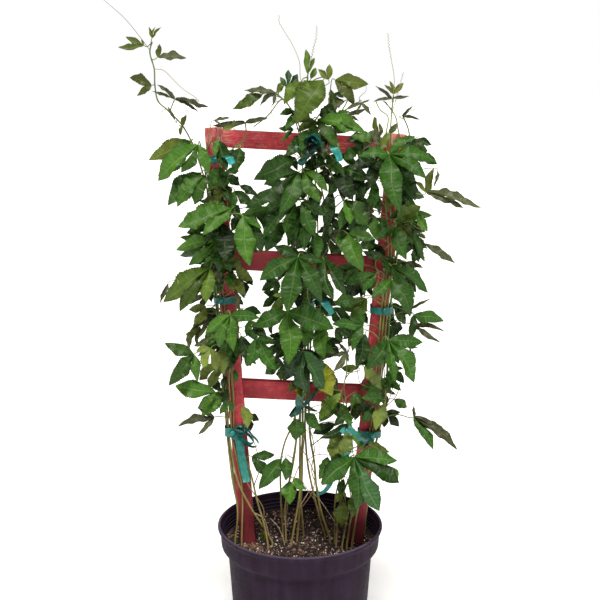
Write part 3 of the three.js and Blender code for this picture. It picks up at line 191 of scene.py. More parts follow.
def skin(rings, length, girth, tone=0.0, finish=0):
    """A surface through rings (n, m, 3) of points in mm. Each ring joins the next by four-sided
    faces all round, and flat caps close the two ends. length (n) and girth (m + 1) are the
    distances along and around that become the UV map; tone is one number or one per ring, and
    finish is which of the piece's materials each row of faces takes."""
    rings = np.asarray(rings, float)
    n, m = rings.shape[:2]
    i, k = np.meshgrid(np.arange(n - 1), np.arange(m), indexing="ij")
    a, b = i * m + k, i * m + (k + 1) % m
    corners = np.stack([a, b, b + m, a + m], axis=-1).reshape(-1, 4)
    u, v = np.asarray(length, float), np.asarray(girth, float)
    uv = np.stack([np.stack([u[i], v[k]], -1), np.stack([u[i], v[k + 1]], -1),
                   np.stack([u[i + 1], v[k + 1]], -1), np.stack([u[i + 1], v[k]], -1)], axis=-2)
    paint = np.broadcast_to(finish, (n - 1, m)).reshape(-1)
    end = (n - 1) * m + np.arange(m)
    corners = np.concatenate([corners.reshape(-1), np.arange(m)[::-1], end])
    uv = np.concatenate([uv.reshape(-1, 2), np.stack([np.full(m, u[0]), v[:m][::-1]], -1),
                         np.stack([np.full(m, u[-1]), v[:m]], -1)])
    totals = np.concatenate([np.full((n - 1) * m, 4), [m, m]])
    paint = np.concatenate([paint, [paint[0], paint[-1]]])
    shade = np.broadcast_to(np.reshape(tone, (-1, 1)), (n, m)).reshape(-1)
    return {"points": rings.reshape(-1, 3), "corners": corners, "totals": totals, "uv": uv,
            "tone": shade, "paint": paint}


def make_piece(name, skins, finishes, slot, *nodes, crease=50.0):
    """Joins skins into one object at the origin in metres, shaded smooth but for edges sharper
    than the crease, that rides on the part in place of the nodes named."""
    mesh = bpy.data.meshes.new(name)
    first = np.cumsum([0] + [len(s["points"]) for s in skins[:-1]])
    points = np.concatenate([s["points"] for s in skins]) * MM
    corners = np.concatenate([s["corners"] + f for s, f in zip(skins, first)])
    totals = np.concatenate([s["totals"] for s in skins])
    mesh.vertices.add(len(points))
    mesh.vertices.foreach_set("co", points.ravel())
    mesh.loops.add(len(corners))
    mesh.loops.foreach_set("vertex_index", corners.astype(np.int32))
    mesh.polygons.add(len(totals))
    starts = np.concatenate([[0], np.cumsum(totals)[:-1]])
    paint = np.concatenate([s["paint"] for s in skins])
    mesh.polygons.foreach_set("loop_start", starts.astype(np.int32))
    mesh.polygons.foreach_set("material_index", paint.astype(np.int32))
    mesh.polygons.foreach_set("use_smooth", np.ones(len(totals), bool))
    mesh.update(calc_edges=True)
    mesh.uv_layers.new(name="along").data.foreach_set(
        "uv", np.concatenate([s["uv"] for s in skins]).ravel())
    mesh.attributes.new("tone", "FLOAT", "POINT").data.foreach_set(
        "value", np.concatenate([s["tone"] for s in skins]))
    mesh.set_sharp_from_angle(angle=math.radians(crease))
    for material in finishes:
        mesh.materials.append(material)
    made = bpy.data.objects.new(name, mesh)
    bpy.context.scene.collection.objects.link(made)
    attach(made, "root")
    if nodes:
        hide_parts(*nodes)
    return made


def around(profile, sides):
    """A profile of [radius, height] pairs turned round the vertical axis, as rings: x is the
    radius times the cosine of the angle and y the radius times its sine."""
    r, z = np.asarray(profile, float).T
    a = 2 * np.pi * np.arange(sides) / sides
    return np.stack([np.outer(r, np.cos(a)), np.outer(r, np.sin(a)),
                     np.outer(z, np.ones(sides))], axis=-1)


def run_of(points):
    """The distance travelled at each of a line of points, from its first."""
    return np.concatenate([[0], np.cumsum(np.linalg.norm(np.diff(points, axis=0), axis=1))])


# Blow-moulded polyethylene with carbon black: a dull purple-grey with a waxy sheen and upright flow
# streaks. A painted highlight runs along the lip, broken up by scuff noise, and the crests of the
# inner stacking ridges carry a painted highlight too.
LIP_HIGHLIGHT_HEIGHTS = (0.2372, 0.2402)
pot_plastic, tree, shader = new_finish("nursery_pot_polyethylene")
where = add(tree, "TexCoord", "Object")
tall = add(tree, "Mapping", "Vector", {"Vector": where, "Scale": (70.0, 70.0, 4.0)})
streak = add(tree, "TexNoise", "Fac", {"Vector": tall, "Scale": 1.0, "Detail": 3.0})
bloom = add(tree, "TexNoise", "Fac", {"Vector": where, "Scale": 14.0, "Detail": 4.0, "Roughness": 0.6})
both = add(tree, "Math", 0, [streak, bloom], operation="ADD")
mean = add(tree, "Math", 0, [both, 0.5], operation="MULTIPLY")
tint = add(tree, "ValToRGB", "Color", {"Fac": mean},
           stops=[(0.3, "#1d1320"), (0.5, "#291d2c"), (0.72, "#372a3f")])
scuff = add(tree, "TexNoise", "Fac", {"Vector": where, "Scale": 220.0, "Detail": 5.0, "Roughness": 0.7})
height = add(tree, "SeparateXYZ", "Z", {"Vector": where})
# The band 237.2 to 240.2 mm up is a painted highlight along the lip, broken up by scuff noise.
lip_highlight = add(tree, "MapRange", 0, [height, *LIP_HIGHLIGHT_HEIGHTS])
rubbed = add(tree, "Math", 0, [lip_highlight, scuff], operation="MULTIPLY")
# The ridge crests' tone is a painted highlight, mixed in with the lip's painted highlight.
ridge = add(tree, "Attribute", "Fac", attribute_name="tone")
painted_highlight = add(tree, "Math", 0, [rubbed, ridge], operation="MAXIMUM")
worn = add(tree, "Mix", "Result", {"Factor": painted_highlight, "A": tint, "B": linear("#655b70")},
           data_type="RGBA")
dull = add(tree, "MapRange", 0, [scuff, 0.3, 0.7, 0.55, 0.8])
relief = add(tree, "Bump", "Normal", {"Height": scuff, "Strength": 0.25, "Distance": 0.0006})
feed(shader, {"Base Color": worn, "Specular IOR Level": 0.07, "Roughness": dull, "Normal": relief})

# The outline of the pot's wall from the middle of its underside, up the outside, over the lip and
# down the inside, as [radius, height] in mm.
POT_PROFILE = [
    [0.5, 0], [60, 0], [103, 0], [107, 0.6], [109.2, 2], [110, 4], [111.5, 26], [114.6, 72],
    [117.8, 118], [121, 166], [122.5, 188], [123.2, 193], [124.8, 195.6], [129, 198.6],
    [132, 201], [133.3, 203], [134, 205.4], [134.4, 209.4], [134.9, 216], [135.6, 225.6],
    [136.4, 229.8], [137.8, 231.8], [139.2, 233.6], [139.9, 235.4], [140, 237], [139.5, 238.7],
    [138.4, 239.7], [137, 240], [135.9, 239.6], [135.2, 238.4], [134.8, 236], [133.6, 232.5],
    [132.3, 229.8], [131.7, 228], [132.6, 225.8], [133.3, 224], [132.9, 222.6], [132, 221.4],
    [132.6, 219], [133, 217.4], [132.5, 216], [131.6, 215], [132.2, 212.6], [132.6, 211.2],
    [132.1, 209.8], [131.4, 208.8], [131.8, 206.4], [132, 205], [131.6, 203], [131.4, 200.2],
    [127, 198.9], [122, 197.2], [121, 195.4], [120.6, 189], [116, 118], [111.2, 50], [108, 6],
    [105, 4], [40, 4], [0.5, 4]]
# The crests of the stacking ridges, inside this radius, are painted paler by this much, as a painted
# highlight.
RIDGE_CRESTS = (228, 221.4, 215, 208.8, 203)
RIDGE_RADIUS = 133
RIDGE_HIGHLIGHT = 0.5
POT_SIDES = 160
POT_GIRTH = 0.88
rings = around(POT_PROFILE, POT_SIDES)
pot_skin = skin(rings, run_of(np.array([[r, 0, z] for r, z in POT_PROFILE])) * MM,
                np.linspace(0, POT_GIRTH, POT_SIDES + 1),
                tone=[RIDGE_HIGHLIGHT if z in RIDGE_CRESTS and r < RIDGE_RADIUS else 0.0
                      for r, z in POT_PROFILE])
pot = make_piece("nursery_pot", [pot_skin], [pot_plastic], "pot_plastic", "pot", crease=38.0)

# Each drain slot is 30 mm wide and 12 mm high, cut through wall and floor in one punch.
DRAINS = 6
DRAIN_RADIUS = 113
DRAIN_HALF_DEPTH = 7
DRAIN_HALF_WIDTH = 15
DRAIN_HEIGHT = 12
punches = []
for i in range(DRAINS):
    way = math.radians(360 / DRAINS * i + 30)
    out = np.array([math.cos(way), math.sin(way), 0])
    side = np.array([-math.sin(way), math.cos(way), 0])
    ring = np.array([DRAIN_RADIUS * out + DRAIN_HALF_DEPTH * p * out + DRAIN_HALF_WIDTH * q * side
                     for p, q in ((-1, -1), (1, -1), (1, 1), (-1, 1))])
    punches.append(skin([ring - [0, 0, 1], ring + [0, 0, DRAIN_HEIGHT]], [0, 1], np.arange(5)))
punch = make_piece("drain_punch", punches, [pot_plastic], "pot_plastic")
cut = pot.modifiers.new("drain", "BOOLEAN")
cut.operation = "DIFFERENCE"
cut.solver = "EXACT"
cut.object = punch
bpy.context.view_layer.update()
punched = bpy.data.meshes.new_from_object(pot.evaluated_get(bpy.context.evaluated_depsgraph_get()))
pot.modifiers.clear()
pot.data = punched
bpy.data.objects.remove(punch)

# ---------------------------------------------------------------- potting mix
# Dark peat and bark fines filled to 38 mm below the rim, a little mounded and banked up to the
# back, with lumps, chips of composted bark and pinkish-white grains of perlite lying on it.

# Wet peat and bark fines: nearly black brown, rough, with paler fibres.
peat, tree, shader = new_finish("peat_and_bark_fines")
where = add(tree, "TexCoord", "Object")
crumb = add(tree, "TexNoise", "Fac", {"Vector": where, "Scale": 260.0, "Detail": 6.0, "Roughness": 0.75})
patch = add(tree, "TexVoronoi", "Color", {"Vector": where, "Scale": 210.0, "Randomness": 1.0})
both = add(tree, "Math", 0, [crumb, patch], operation="MULTIPLY")
tint = add(tree, "ValToRGB", "Color", {"Fac": both},
           stops=[(0.05, "#060303"), (0.2, "#160c09"), (0.38, "#35201a"), (0.56, "#86655a")])
relief = add(tree, "Bump", "Normal", {"Height": crumb, "Strength": 1.0, "Distance": 0.005})
feed(shader, {"Base Color": tint, "Roughness": 0.95, "Normal": relief})


def soil_height(x, y):
    """Height of the soil at x, y in mm: a low mound that falls from 206 at the middle to 201.5 at
    the wall, 0.065 y higher behind the middle, with lumps about 22, 9 and 4 mm across."""
    r = np.hypot(x, y)
    p = np.stack([x, y, np.zeros_like(r)], axis=-1)
    mound = np.interp(r, [0, 36, 74, 110, 130.6], [206, 206, 204, 202, 201.5])
    mound = mound + 0.065 * np.maximum(0, y)
    rough = 1.3 * lumps(p, 22, 3) + 1.3 * lumps(p, 9, 4) + 0.9 * lumps(p, 4, 5)
    return mound + rough * np.clip((131 - r) / 6, 0, 1)


# The side of the mix against the pot's wall as (radius, height), and the rings of its top.
SOIL_WALL = ((107.4, 4.4), (120.5, 196.3), (130.6, 200.4))
SOIL_RINGS = 62
SOIL_SIDES = 170
mound = [(r, 0) for r in np.linspace(SOIL_WALL[-1][0], 0.5, SOIL_RINGS)]
rings = around([*SOIL_WALL, *mound], SOIL_SIDES)
top = rings[len(SOIL_WALL):]
top[:, :, 2] = soil_height(top[:, :, 0], top[:, :, 1])
soil_skin = skin(rings, np.linspace(0, 0.3, len(rings)), np.linspace(0, 0.8, SOIL_SIDES + 1))
make_piece("potting_mix", [soil_skin], [peat], "potting_mix", "soil")

# How far from the middle the crumbs lie, in mm.
CRUMB_REACH = 122


def crumbs(count, low, high, seed, flat):
    """Small angular pieces on the soil, low to high mm long: bars of a few corners with pinched
    ends, each turned and leaned by its own draws and sunk a third of its height. Two in five were
    washed to the front."""
    made = []
    for i in range(count):
        d = [float(draw(seed + i, k)) for k in range(9)]
        r, a = CRUMB_REACH * math.sqrt(d[0]), 2 * math.pi * d[1]
        if i % 5 < 2:
            r = CRUMB_REACH * math.sqrt(0.35 + 0.65 * d[0])
            a = 2.3 * (d[1] - 0.5) - math.pi / 2
        size = low + (high - low) * d[2] ** 2
        x, y = r * math.cos(a), r * math.sin(a)
        along = np.array([math.cos(6.3 * d[3]), math.sin(6.3 * d[3]), 0.7 * (d[4] - 0.5)])
        side = np.cross([0, 0, 1.0], along)
        side /= np.linalg.norm(side)
        up = np.cross(along, side)
        thick = size * (0.22 + 0.3 * d[5]) * flat
        wide = size * (0.3 + 0.3 * d[6])
        at = np.array([x, y, float(soil_height(np.array(x), np.array(y))) + 0.35 * thick])
        rings = []
        for t, w in ((-1, 0.45), (-0.5, 1.0), (0.45, 0.85 + 0.3 * d[7]), (1, 0.35)):
            ring = [at + along * size * 0.5 * t + side * wide * 0.5 * w * p + up * thick * w * q
                    for p, q in ((1, 0.1), (0.35 + 0.4 * d[8], 1), (-0.7, 0.8), (-1, -0.2), (0.2, -1))]
            rings.append(ring)
        made.append(skin(rings, [0, 0.3, 0.6, 1], np.arange(6) / 5, tone=d[8]))
    return made


def grit_finish(name, scale, stops, rough, strength, rise):
    """A crumb's finish: its own tone times fine noise, through a colour ramp."""
    made, tree, shader = new_finish(name)
    shade = add(tree, "Attribute", "Fac", attribute_name="tone")
    where = add(tree, "TexCoord", "Object")
    fine = add(tree, "TexNoise", "Fac", {"Vector": where, "Scale": scale, "Detail": 3.0})
    both = add(tree, "Math", 0, [shade, fine], operation="MULTIPLY")
    tint = add(tree, "ValToRGB", "Color", {"Fac": both}, stops=stops)
    relief = add(tree, "Bump", "Normal", {"Height": fine, "Strength": strength, "Distance": rise})
    feed(shader, {"Base Color": tint, "Roughness": rough, "Normal": relief})
    return made


# Composted pine bark: flat brown chips, some grey and weathered.
bark = grit_finish("composted_pine_bark", 500.0, [
    (0.02, "#190e09"), (0.22, "#3a2419"), (0.42, "#6f4e3a"), (0.6, "#a1856e")], 0.9, 0.6, 0.001)
# Expanded perlite: light foamed glass, off-white and stained pink-brown by the peat.
perlite = grit_finish("expanded_perlite", 900.0, [
    (0.05, "#8f7568"), (0.3, "#c9b3a9"), (0.55, "#f2e9e4")], 0.85, 0.5, 0.0008)

make_piece("bark_chips", crumbs(1500, 1.4, 8.5, 1000, 0.7), [bark], "potting_mix")
make_piece("perlite_grains", crumbs(1700, 0.9, 4.0, 3000, 1.2), [perlite], "potting_mix")

# ---------------------------------------------------------------- ladder trellis
# Two sawn softwood uprights stand in the pot and three rungs are nailed across behind them, all
# brushed with one coat of red paint that has weathered, chipped at the arrises and worn through.

# One thin coat of red oxide paint on rough-sawn softwood: chalky, streaked with the grain,
# scratched, worn to pink and bare wood on the high spots, darkened towards the soil by painted
# shade and, where the age is below nothing, by painted shade under the leaves.
FOOT_SHADE_HEIGHTS = (0.22, 0.42)
red_paint, tree, shader = new_finish("weathered_red_paint")
where = add(tree, "TexCoord", "Object")
along = add(tree, "UVMap", "UV", uv_map="along")
age = add(tree, "Attribute", "Fac", attribute_name="tone")
grain_run = add(tree, "Mapping", "Vector", {"Vector": along, "Scale": (14.0, 420.0, 1.0)})
grain = add(tree, "TexNoise", "Fac", {"Vector": grain_run, "Scale": 1.0, "Detail": 6.0,
                                      "Roughness": 0.65})
blotch = add(tree, "TexNoise", "Fac", {"Vector": where, "Scale": 24.0, "Detail": 7.0, "Roughness": 0.7})
coat = add(tree, "ValToRGB", "Color", {"Fac": blotch},
           stops=[(0.3, "#6e1620"), (0.43, "#a0242e"), (0.58, "#b93340"), (0.7, "#c8555c")])
wear_run = add(tree, "Mapping", "Vector", {"Vector": along, "Scale": (45.0, 110.0, 1.0)})
wear = add(tree, "TexNoise", "Fac", {"Vector": wear_run, "Scale": 1.0, "Detail": 8.0,
                                     "Roughness": 0.75})
high = add(tree, "Math", 0, [wear, grain], operation="MULTIPLY")
rubbed = add(tree, "Math", 0, [age, 0.16, high], operation="MULTIPLY_ADD")
bare = add(tree, "MapRange", 0, [rubbed, 0.36, 0.5, 0.0, 0.85])
worn = add(tree, "Mix", "Result", {"Factor": bare, "A": coat, "B": linear("#d3948a")},
           data_type="RGBA")
scratch_run = add(tree, "Mapping", "Vector", {"Vector": along, "Rotation": (0, 0, 0.5),
                                              "Scale": (60.0, 110.0, 1.0)})
scratch = add(tree, "TexVoronoi", "Distance", {"Vector": scratch_run, "Scale": 1.0},
              feature="DISTANCE_TO_EDGE")
hairline = add(tree, "MapRange", 0, [scratch, 0.0, 0.045, 1.0, 0.0])
broken = add(tree, "MapRange", 0, [wear, 0.46, 0.56])
marked = add(tree, "Math", 0, [hairline, broken], operation="MULTIPLY")
shown = add(tree, "Math", 0, [marked, age], operation="MULTIPLY")
scored = add(tree, "Mix", "Result", {"Factor": shown, "A": worn, "B": linear("#d99b72")},
             data_type="RGBA")
streak = add(tree, "MapRange", 0, [grain, 0.34, 0.44, 0.28, 0.0])
lined = add(tree, "Mix", "Result", {"Factor": streak, "A": scored, "B": linear("#471018")},
            data_type="RGBA")
height = add(tree, "SeparateXYZ", "Z", {"Vector": where})
# Painted shade: the paint darkens from 0.42 m down to 0.22 m, and where the age is below nothing.
painted_foot_shade = add(tree, "MapRange", 0, [height, *FOOT_SHADE_HEIGHTS, 0.85, 0.0])
painted_leaf_shade = add(tree, "MapRange", 0, [age, -1.0, 0.0, 1.0, 0.0])
painted_shade = add(tree, "Math", 0, [painted_foot_shade, painted_leaf_shade], operation="MAXIMUM")
shaded_coat = add(tree, "Mix", "Result", {"Factor": painted_shade, "A": lined, "B": linear("#52161d")},
             data_type="RGBA")
dull = add(tree, "MapRange", 0, [blotch, 0.0, 1.0, 0.5, 0.8])
relief = add(tree, "Bump", "Normal", {"Height": high, "Strength": 0.8, "Distance": 0.0018})
feed(shader, {"Base Color": shaded_coat, "Roughness": dull, "Normal": relief})

SLAT_WIDTH = 27.0
SLAT_THICK = 15.0
RUNG_THICK = 13.0
RUNG_GAP = 0.3
RUNG_Y = SLAT_THICK / 2 + RUNG_GAP + RUNG_THICK / 2
RUNG_SLOPE = -0.052
RUNG_SHORT = 1.0
ARRIS = 1.1
SLAT_STEP = 6.0
# Each upright: its foot and head (x, z), and its paint's age as (share of the length, tone) pairs.
UPRIGHT_AGE = ((0, 0.1), (0.84, 0.3), (0.955, 0.5), (0.965, 1.1), (1, 1.1))
UPRIGHTS = {"upright_left": ((-77.5, 40.0), (-137.0, 905.0)),
            "upright_right": ((80.5, 40.0), (154.0, 895.0))}
# Each rung: its middle height above the pot's middle, its width, and its paint's age, which below
# nothing is painted shade from the leaves.
RUNGS = {"rung_top": (881.0, 28.5, ((0, 1.1), (0.1, 1.0), (0.16, 0.5), (1, 0.55))),
         "rung_middle": (686.3, 33.0, ((0, -0.6), (0.3, -0.5), (0.5, 0), (1, 0.25))),
         "rung_lower": (468.5, 32.0, ((0, 0.15), (1, 0.25)))}


def upright_x(name, z):
    """Where the middle of an upright is at a height, on the straight line from foot to head."""
    (x0, z0), (x1, z1) = UPRIGHTS[name]
    return x0 + (x1 - x0) * (z - z0) / (z1 - z0)


def rung_z(name, x):
    """The middle height of a rung at x: it falls 52 mm in a metre to the right."""
    return RUNGS[name][0] + RUNG_SLOPE * x


def sawn_slat(start, end, width, thick, y, seed, age):
    """A sawn slat: a rectangle with arrises rounded to 1.1 mm carried from start to end (x, z), its
    faces sunk up to 0.4 mm by lumps drawn out along the grain, and its arrises chipped inward. Its
    age is what the paint wears by."""
    a, b = np.array([start[0], y, start[1]]), np.array([end[0], y, end[1]])
    long = np.linalg.norm(b - a)
    along = (b - a) / long
    wide = np.cross([0, -1.0, 0], along)
    w, t, r = width / 2, thick / 2, ARRIS
    arc = np.radians([0, 30, 60, 90])
    quarter = np.stack([w - r + r * np.cos(arc), t - r + r * np.sin(arc)], axis=-1)
    top = np.array([[w * f, t] for f in (0.55, 0.2, -0.2, -0.55)])
    side = np.array([[-w, t * f] for f in (0.4, -0.4)])
    ring = np.concatenate([quarter, top, (quarter * [-1, 1])[::-1], side, -quarter, -top,
                           (quarter * [1, -1])[::-1], -side])
    corner = np.hypot(*ring.T) > np.hypot(w, t) - 2 * ARRIS
    s = np.concatenate([[0, 0.5, 1.5], np.arange(SLAT_STEP, long - 4, SLAT_STEP),
                        [long - 1.5, long - 0.5, long]])
    inset = np.interp(s, [0, 0.5, 1.5, long - 1.5, long - 0.5, long], [0.9, 0.25, 0, 0, 0.25, 0.9])
    shape = ring[None] * (1 - inset[:, None, None] / np.array([w, t]))
    drawn = np.broadcast_to(s[:, None] * 0.18, shape.shape[:2])
    spot = np.stack([drawn, shape[..., 0], shape[..., 1]], -1)
    worn = 0.22 * (lumps(spot, 3.0, seed) - 1)
    chip = np.clip(lumps(spot, 2.2, seed + 1) - 0.25, 0, 1) * 1.6
    pull = (worn - chip * corner) / np.hypot(shape[..., 0], shape[..., 1])
    shape = shape * (1 + pull[..., None])
    depth = np.cross(along, wide)
    rings = (a + s[:, None, None] * along + shape[..., :1] * wide + shape[..., 1:] * depth)
    edge = run_of(np.concatenate([ring, ring[:1]]))
    return skin(rings, s * MM + seed, edge * MM, tone=np.interp(s / long, *np.transpose(age)))


for i, (name, (foot, head)) in enumerate(UPRIGHTS.items()):
    slat = sawn_slat(foot, head, SLAT_WIDTH, SLAT_THICK, 0.0, 3 * i + 1, UPRIGHT_AGE)
    make_piece(name.replace("upright", "painted_upright"), [slat], [red_paint], "red_paint_wood", name)
for i, (name, (z, width, age)) in enumerate(RUNGS.items()):
    left = upright_x("upright_left", z) - SLAT_WIDTH / 2 + RUNG_SHORT
    right = upright_x("upright_right", z) + SLAT_WIDTH / 2 - RUNG_SHORT
    slat = sawn_slat((left, rung_z(name, left)), (right, rung_z(name, right)),
                     width, RUNG_THICK, RUNG_Y, 3 * i + 11, age)
    make_piece(name.replace("rung", "painted_rung"), [slat], [red_paint], "red_paint_wood", name)

# Drawn wire gone dull and lightly rusted. The nails keep their plain round heads, and those on the
# left upright were painted over with the wood.
nail_wire, tree, shader = new_finish("wire_nail_steel")
where = add(tree, "TexCoord", "Object")
rust = add(tree, "TexNoise", "Fac", {"Vector": where, "Scale": 700.0, "Detail": 4.0})
tint = add(tree, "ValToRGB", "Color", {"Fac": rust},
           stops=[(0.35, "#8d8780"), (0.55, "#b5aea4"), (0.68, "#80543c")])
dull = add(tree, "MapRange", 0, [rust, 0.0, 1.0, 0.35, 0.7])
relief = add(tree, "Bump", "Normal", {"Height": rust, "Strength": 0.3, "Distance": 0.0004})
feed(shader, {"Base Color": tint, "Metallic": 0.85, "Roughness": dull, "Normal": relief})
for name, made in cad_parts.items():
    if name.startswith("nail_"):
        made.data.materials.clear()
        made.data.materials.append(red_paint if "left" in name else nail_wire)

# ---------------------------------------------------------------- vine stems
# Eighteen stems grow from the soil, five beside the left upright, six beside the right one and
# seven up the middle, woody and tan at the foot and green above. Each swells a little where a leaf
# stalk joins it.

# How deep in the soil the stems' holes end, and the height at which the stems are clear of it.
STEM_FOOT = 165.0
STEM_CLEAR = 212.0


def seen(x, z, y):
    """The point that is seen at x, z in the plane of the trellis and stands at depth y: x and the
    height over the eye both grow with the distance from the eye."""
    f = (EYE_BACK + y) / EYE_BACK
    return np.array([x * f, y, EYE_UP + (z - EYE_UP) * f])


def curve_through(knots):
    """A centripetal Catmull-Rom curve: between two knots a cubic that leaves each with a slope
    set by its neighbours, each step counting as the square root of its length."""
    p = np.asarray(knots, float)
    q = np.vstack([2 * p[0] - p[1], p, 2 * p[-1] - p[-2]])
    step = np.sqrt(np.linalg.norm(np.diff(q, axis=0), axis=1))

    def at(t):
        whole = np.asarray(t, float) * (len(p) - 1)
        i = np.minimum(whole.astype(int), len(p) - 2)
        w = (whole - i)[:, None]
        a, b, c, d = q[i], q[i + 1], q[i + 2], q[i + 3]
        u, v, x = (step[i + k][:, None] for k in (0, 1, 2))
        s = ((b - a) / u - (c - a) / (u + v) + (c - b) / v) * v
        e = ((c - b) / v - (d - b) / (v + x) + (d - c) / x) * v
        return b + s * w + (-3 * b + 3 * c - 2 * s - e) * w ** 2 + (2 * b - 2 * c + s + e) * w ** 3

    return at


def even_points(knots, step):
    """Points at even steps of about the given length along the curve through the knots."""
    at = curve_through(knots)
    ruler = run_of(at(np.linspace(0, 1, 201)))
    count = max(1, int(ruler[-1] / step + 0.5))
    return at(np.interp(np.linspace(0, 1, count + 1) * ruler[-1], ruler, np.linspace(0, 1, 201)))


# The middle of the centre bundle as (height, how far right of the pot's middle).
MIDDLE = ((380, 5), (450, 5), (560, 9), (640, 11), (720, 24), (800, 22), (870, 14), (960, 12))


def middle_line(z):
    """How far right of the pot's middle the centre bundle is at a height: a Catmull-Rom curve
    through its places, each given the same share."""
    p = np.array(MIDDLE, float)
    q = np.vstack([p[:1], p, p[-1:]])
    last = len(p) - 1
    t = np.linspace(0, 1, 4001) * last
    i = np.minimum(t.astype(int), last - 1)
    w = (t - i)[:, None]
    a, b, c, d = q[i], q[i + 1], q[i + 2], q[i + 3]
    v, e = (c - a) / 2, (d - b) / 2
    line = b + v * w + (-3 * b + 3 * c - 2 * v - e) * w ** 2 + (2 * b - 2 * c + v + e) * w ** 3
    return np.interp(z, line[:, 0], line[:, 1])


def column_x(column, z):
    """The middle of a column of stems at a height: an upright, or the centre bundle."""
    if column == "C":
        return float(middle_line(z))
    return upright_x("upright_left" if column == "L" else "upright_right", z)


# Each stem: where it leaves the soil, the points it passes on the way to its lane, the lane
# (offset across, depth, first and last height, bow (height, reach, amount)), the points of its
# shoot above the lane as (x, z, y), and its foot and head radius.
STEMS = {
    "L1": ((-101, 15), [(-110, 14, 290)], (-18.5, 3.5, 400, 800),
           [(-158, 845, -4), (-172, 884, -10), (-186, 909, -12), (-209, 933, -14), (-222, 945, -15),
            (-226.5, 968, -15), (-227, 995, -14), (-233, 1021, -13), (-229, 1036, -12)], (2.2, 1.1)),
    "L2": ((-110, -19), [(-105, -17, 266), (-114, -14, 325)], (-18.5, -6, 400, 850),
           [(-158, 880, -14)], (1.9, 1.2)),
    "L3": ((-47, -20), [(-61, -21, 238), (-82, -22, 274), (-104, -20, 322)], (-14.5, -12, 396, 850),
           [(-146, 880, -15)], (2.1, 1.2)),
    "L4": ((-99, -17), [(-97, -12.5, 300), (-103, -12, 345)], (-9.5, -12.3, 396, 840),
           [(-135, 872, -15)], (1.9, 1.2)),
    "L5": ((-54, -31), [(-60, -26, 245), (-72, -17, 285), (-85, -12, 340)], (-4.5, -12, 396, 800),
           [(-124, 845, -13), (-108, 870, -13), (-86, 889, -9), (-86, 913, -6)], (2.1, 1.1)),
    "C1": ((-29, 2), [(-33, 0, 300), (-32, -2, 351), (-25, -6, 386), (-12, -9, 418)],
           (-8.7, -9, 450, 860),
           [(-4, 905, -14), (-14, 932, -14), (-27, 949, -9), (-50, 924, 0), (-73, 906, 3)], (2.2, 1.1)),
    "C2": ((-24, -12), [(-24, -14, 279), (-14, -17, 342), (-6, -17, 396)], (-4.5, -16.6, 440, 870),
           [(-6, 920, -26), (-24, 946, -24), (-38, 958, -20)], (2.2, 1.1)),
    "C3": ((-14, -22), [(-9, -24, 245), (0, -24, 305), (3, -19, 380)], (4.5, -16.6, 440, 880),
           [(14, 925, -20), (11, 958, -20), (12, 984, -18)], (2.4, 1.1)),
    "C4": ((-5, -5), [(2, -6, 297), (4, -8, 380)], (0, -8.6, 440, 880),
           [(24, 915, -10), (40, 934, -12), (53, 944, -14)], (2.4, 1.1)),
    "C5": ((43, 6), [(32, 0, 254), (22, -3, 297), (13, -4, 345), (9, -3, 395)],
           (4.6, -0.8, 440, 840, (770, 60, 12)), [(22, 880, -3), (30, 905, -2)], (2.2, 1.2)),
    "C6": ((51, -4), [(36, -9, 262), (28, -10, 305), (24, -9, 350), (17, -9, 395)],
           (9.4, -9.4, 440, 850, (780, 70, 24)), [(42, 890, -12), (66, 928, -10), (95, 943, -10)],
           (2.2, 1.1)),
    "C7": ((6, 14), [(0, 8, 300), (0, 1, 390)], (-4.6, -0.8, 440, 850),
           [(0, 900, 2)], (2.2, 1.2)),
    "R1": ((111, 17), [(118, 14, 300)], (18.5, 3.5, 400, 850, (470, 60, 6)),
           [(173, 880, 4), (171, 901, 3), (162, 922, 0)], (2.1, 1.1)),
    "R2": ((88, -25), [(98, -24, 280), (116, -18, 345)], (18.5, -6, 400, 850, (470, 60, 6)),
           [(163, 870, -10.5), (155, 900, -11.5), (150, 922, -12), (139, 938, -12)], (2.1, 1.1)),
    "R3": ((79, -29), [(88, -29, 275), (108, -22, 345)], (13.5, -12, 400, 700),
           [(152, 795, -14), (143, 886, -14), (143.5, 922, -15), (145.5, 950, -15)], (2.2, 1.1)),
    "R4": ((71, -33), [(81, -33, 275), (100, -24, 345)], (8.5, -12.3, 400, 700),
           [(144, 790, -15), (136, 893, -18), (138, 922, -20), (126, 932, -21), (119, 945, -21)],
           (2.2, 1.1)),
    "R5": ((61, -26), [(66, -28, 280), (91, -20, 350)], (3.5, -12, 400, 700),
           [(136, 790, -14), (124, 880, -16), (123, 893, -18)], (1.9, 1.2)),
    "R6": ((59, -8), [(60, -12, 290), (74, -14, 350), (86, -18, 405), (76, -24, 457)], None,
           [(73, 481, -26), (77, 505, -28), (76, 542, -28)], (1.8, 1)),
}


# The points of a lane are this far apart in height.
LANE_STEP = 50


def stem_knots(name):
    """The points a stem passes: soil, rise, lane with a sway of 1.1 mm across and 0.8 mm in depth,
    which the stems of a side column share, and shoot. A bow adds a bell curve to the lane."""
    soil, rise, lane, shoot, _ = STEMS[name]
    knots = [(*soil, STEM_CLEAR), *rise]
    if lane:
        across, depth, low, high, *bow = lane
        phase = 6 * float(draw(ord(name[0]), int(name[1]) if name[0] == "C" else 1))
        for z in range(low, high + 1, LANE_STEP):
            x = column_x(name[0], z) + across + 1.1 * math.sin(z / 41 + phase)
            for middle, breadth, amount in bow:
                x += amount * math.exp(-(((z - middle) / breadth) ** 2))
            knots.append((x, depth + 0.8 * math.cos(z / 33 + phase), z))
    return np.array(knots + [seen(*p) for p in shoot])


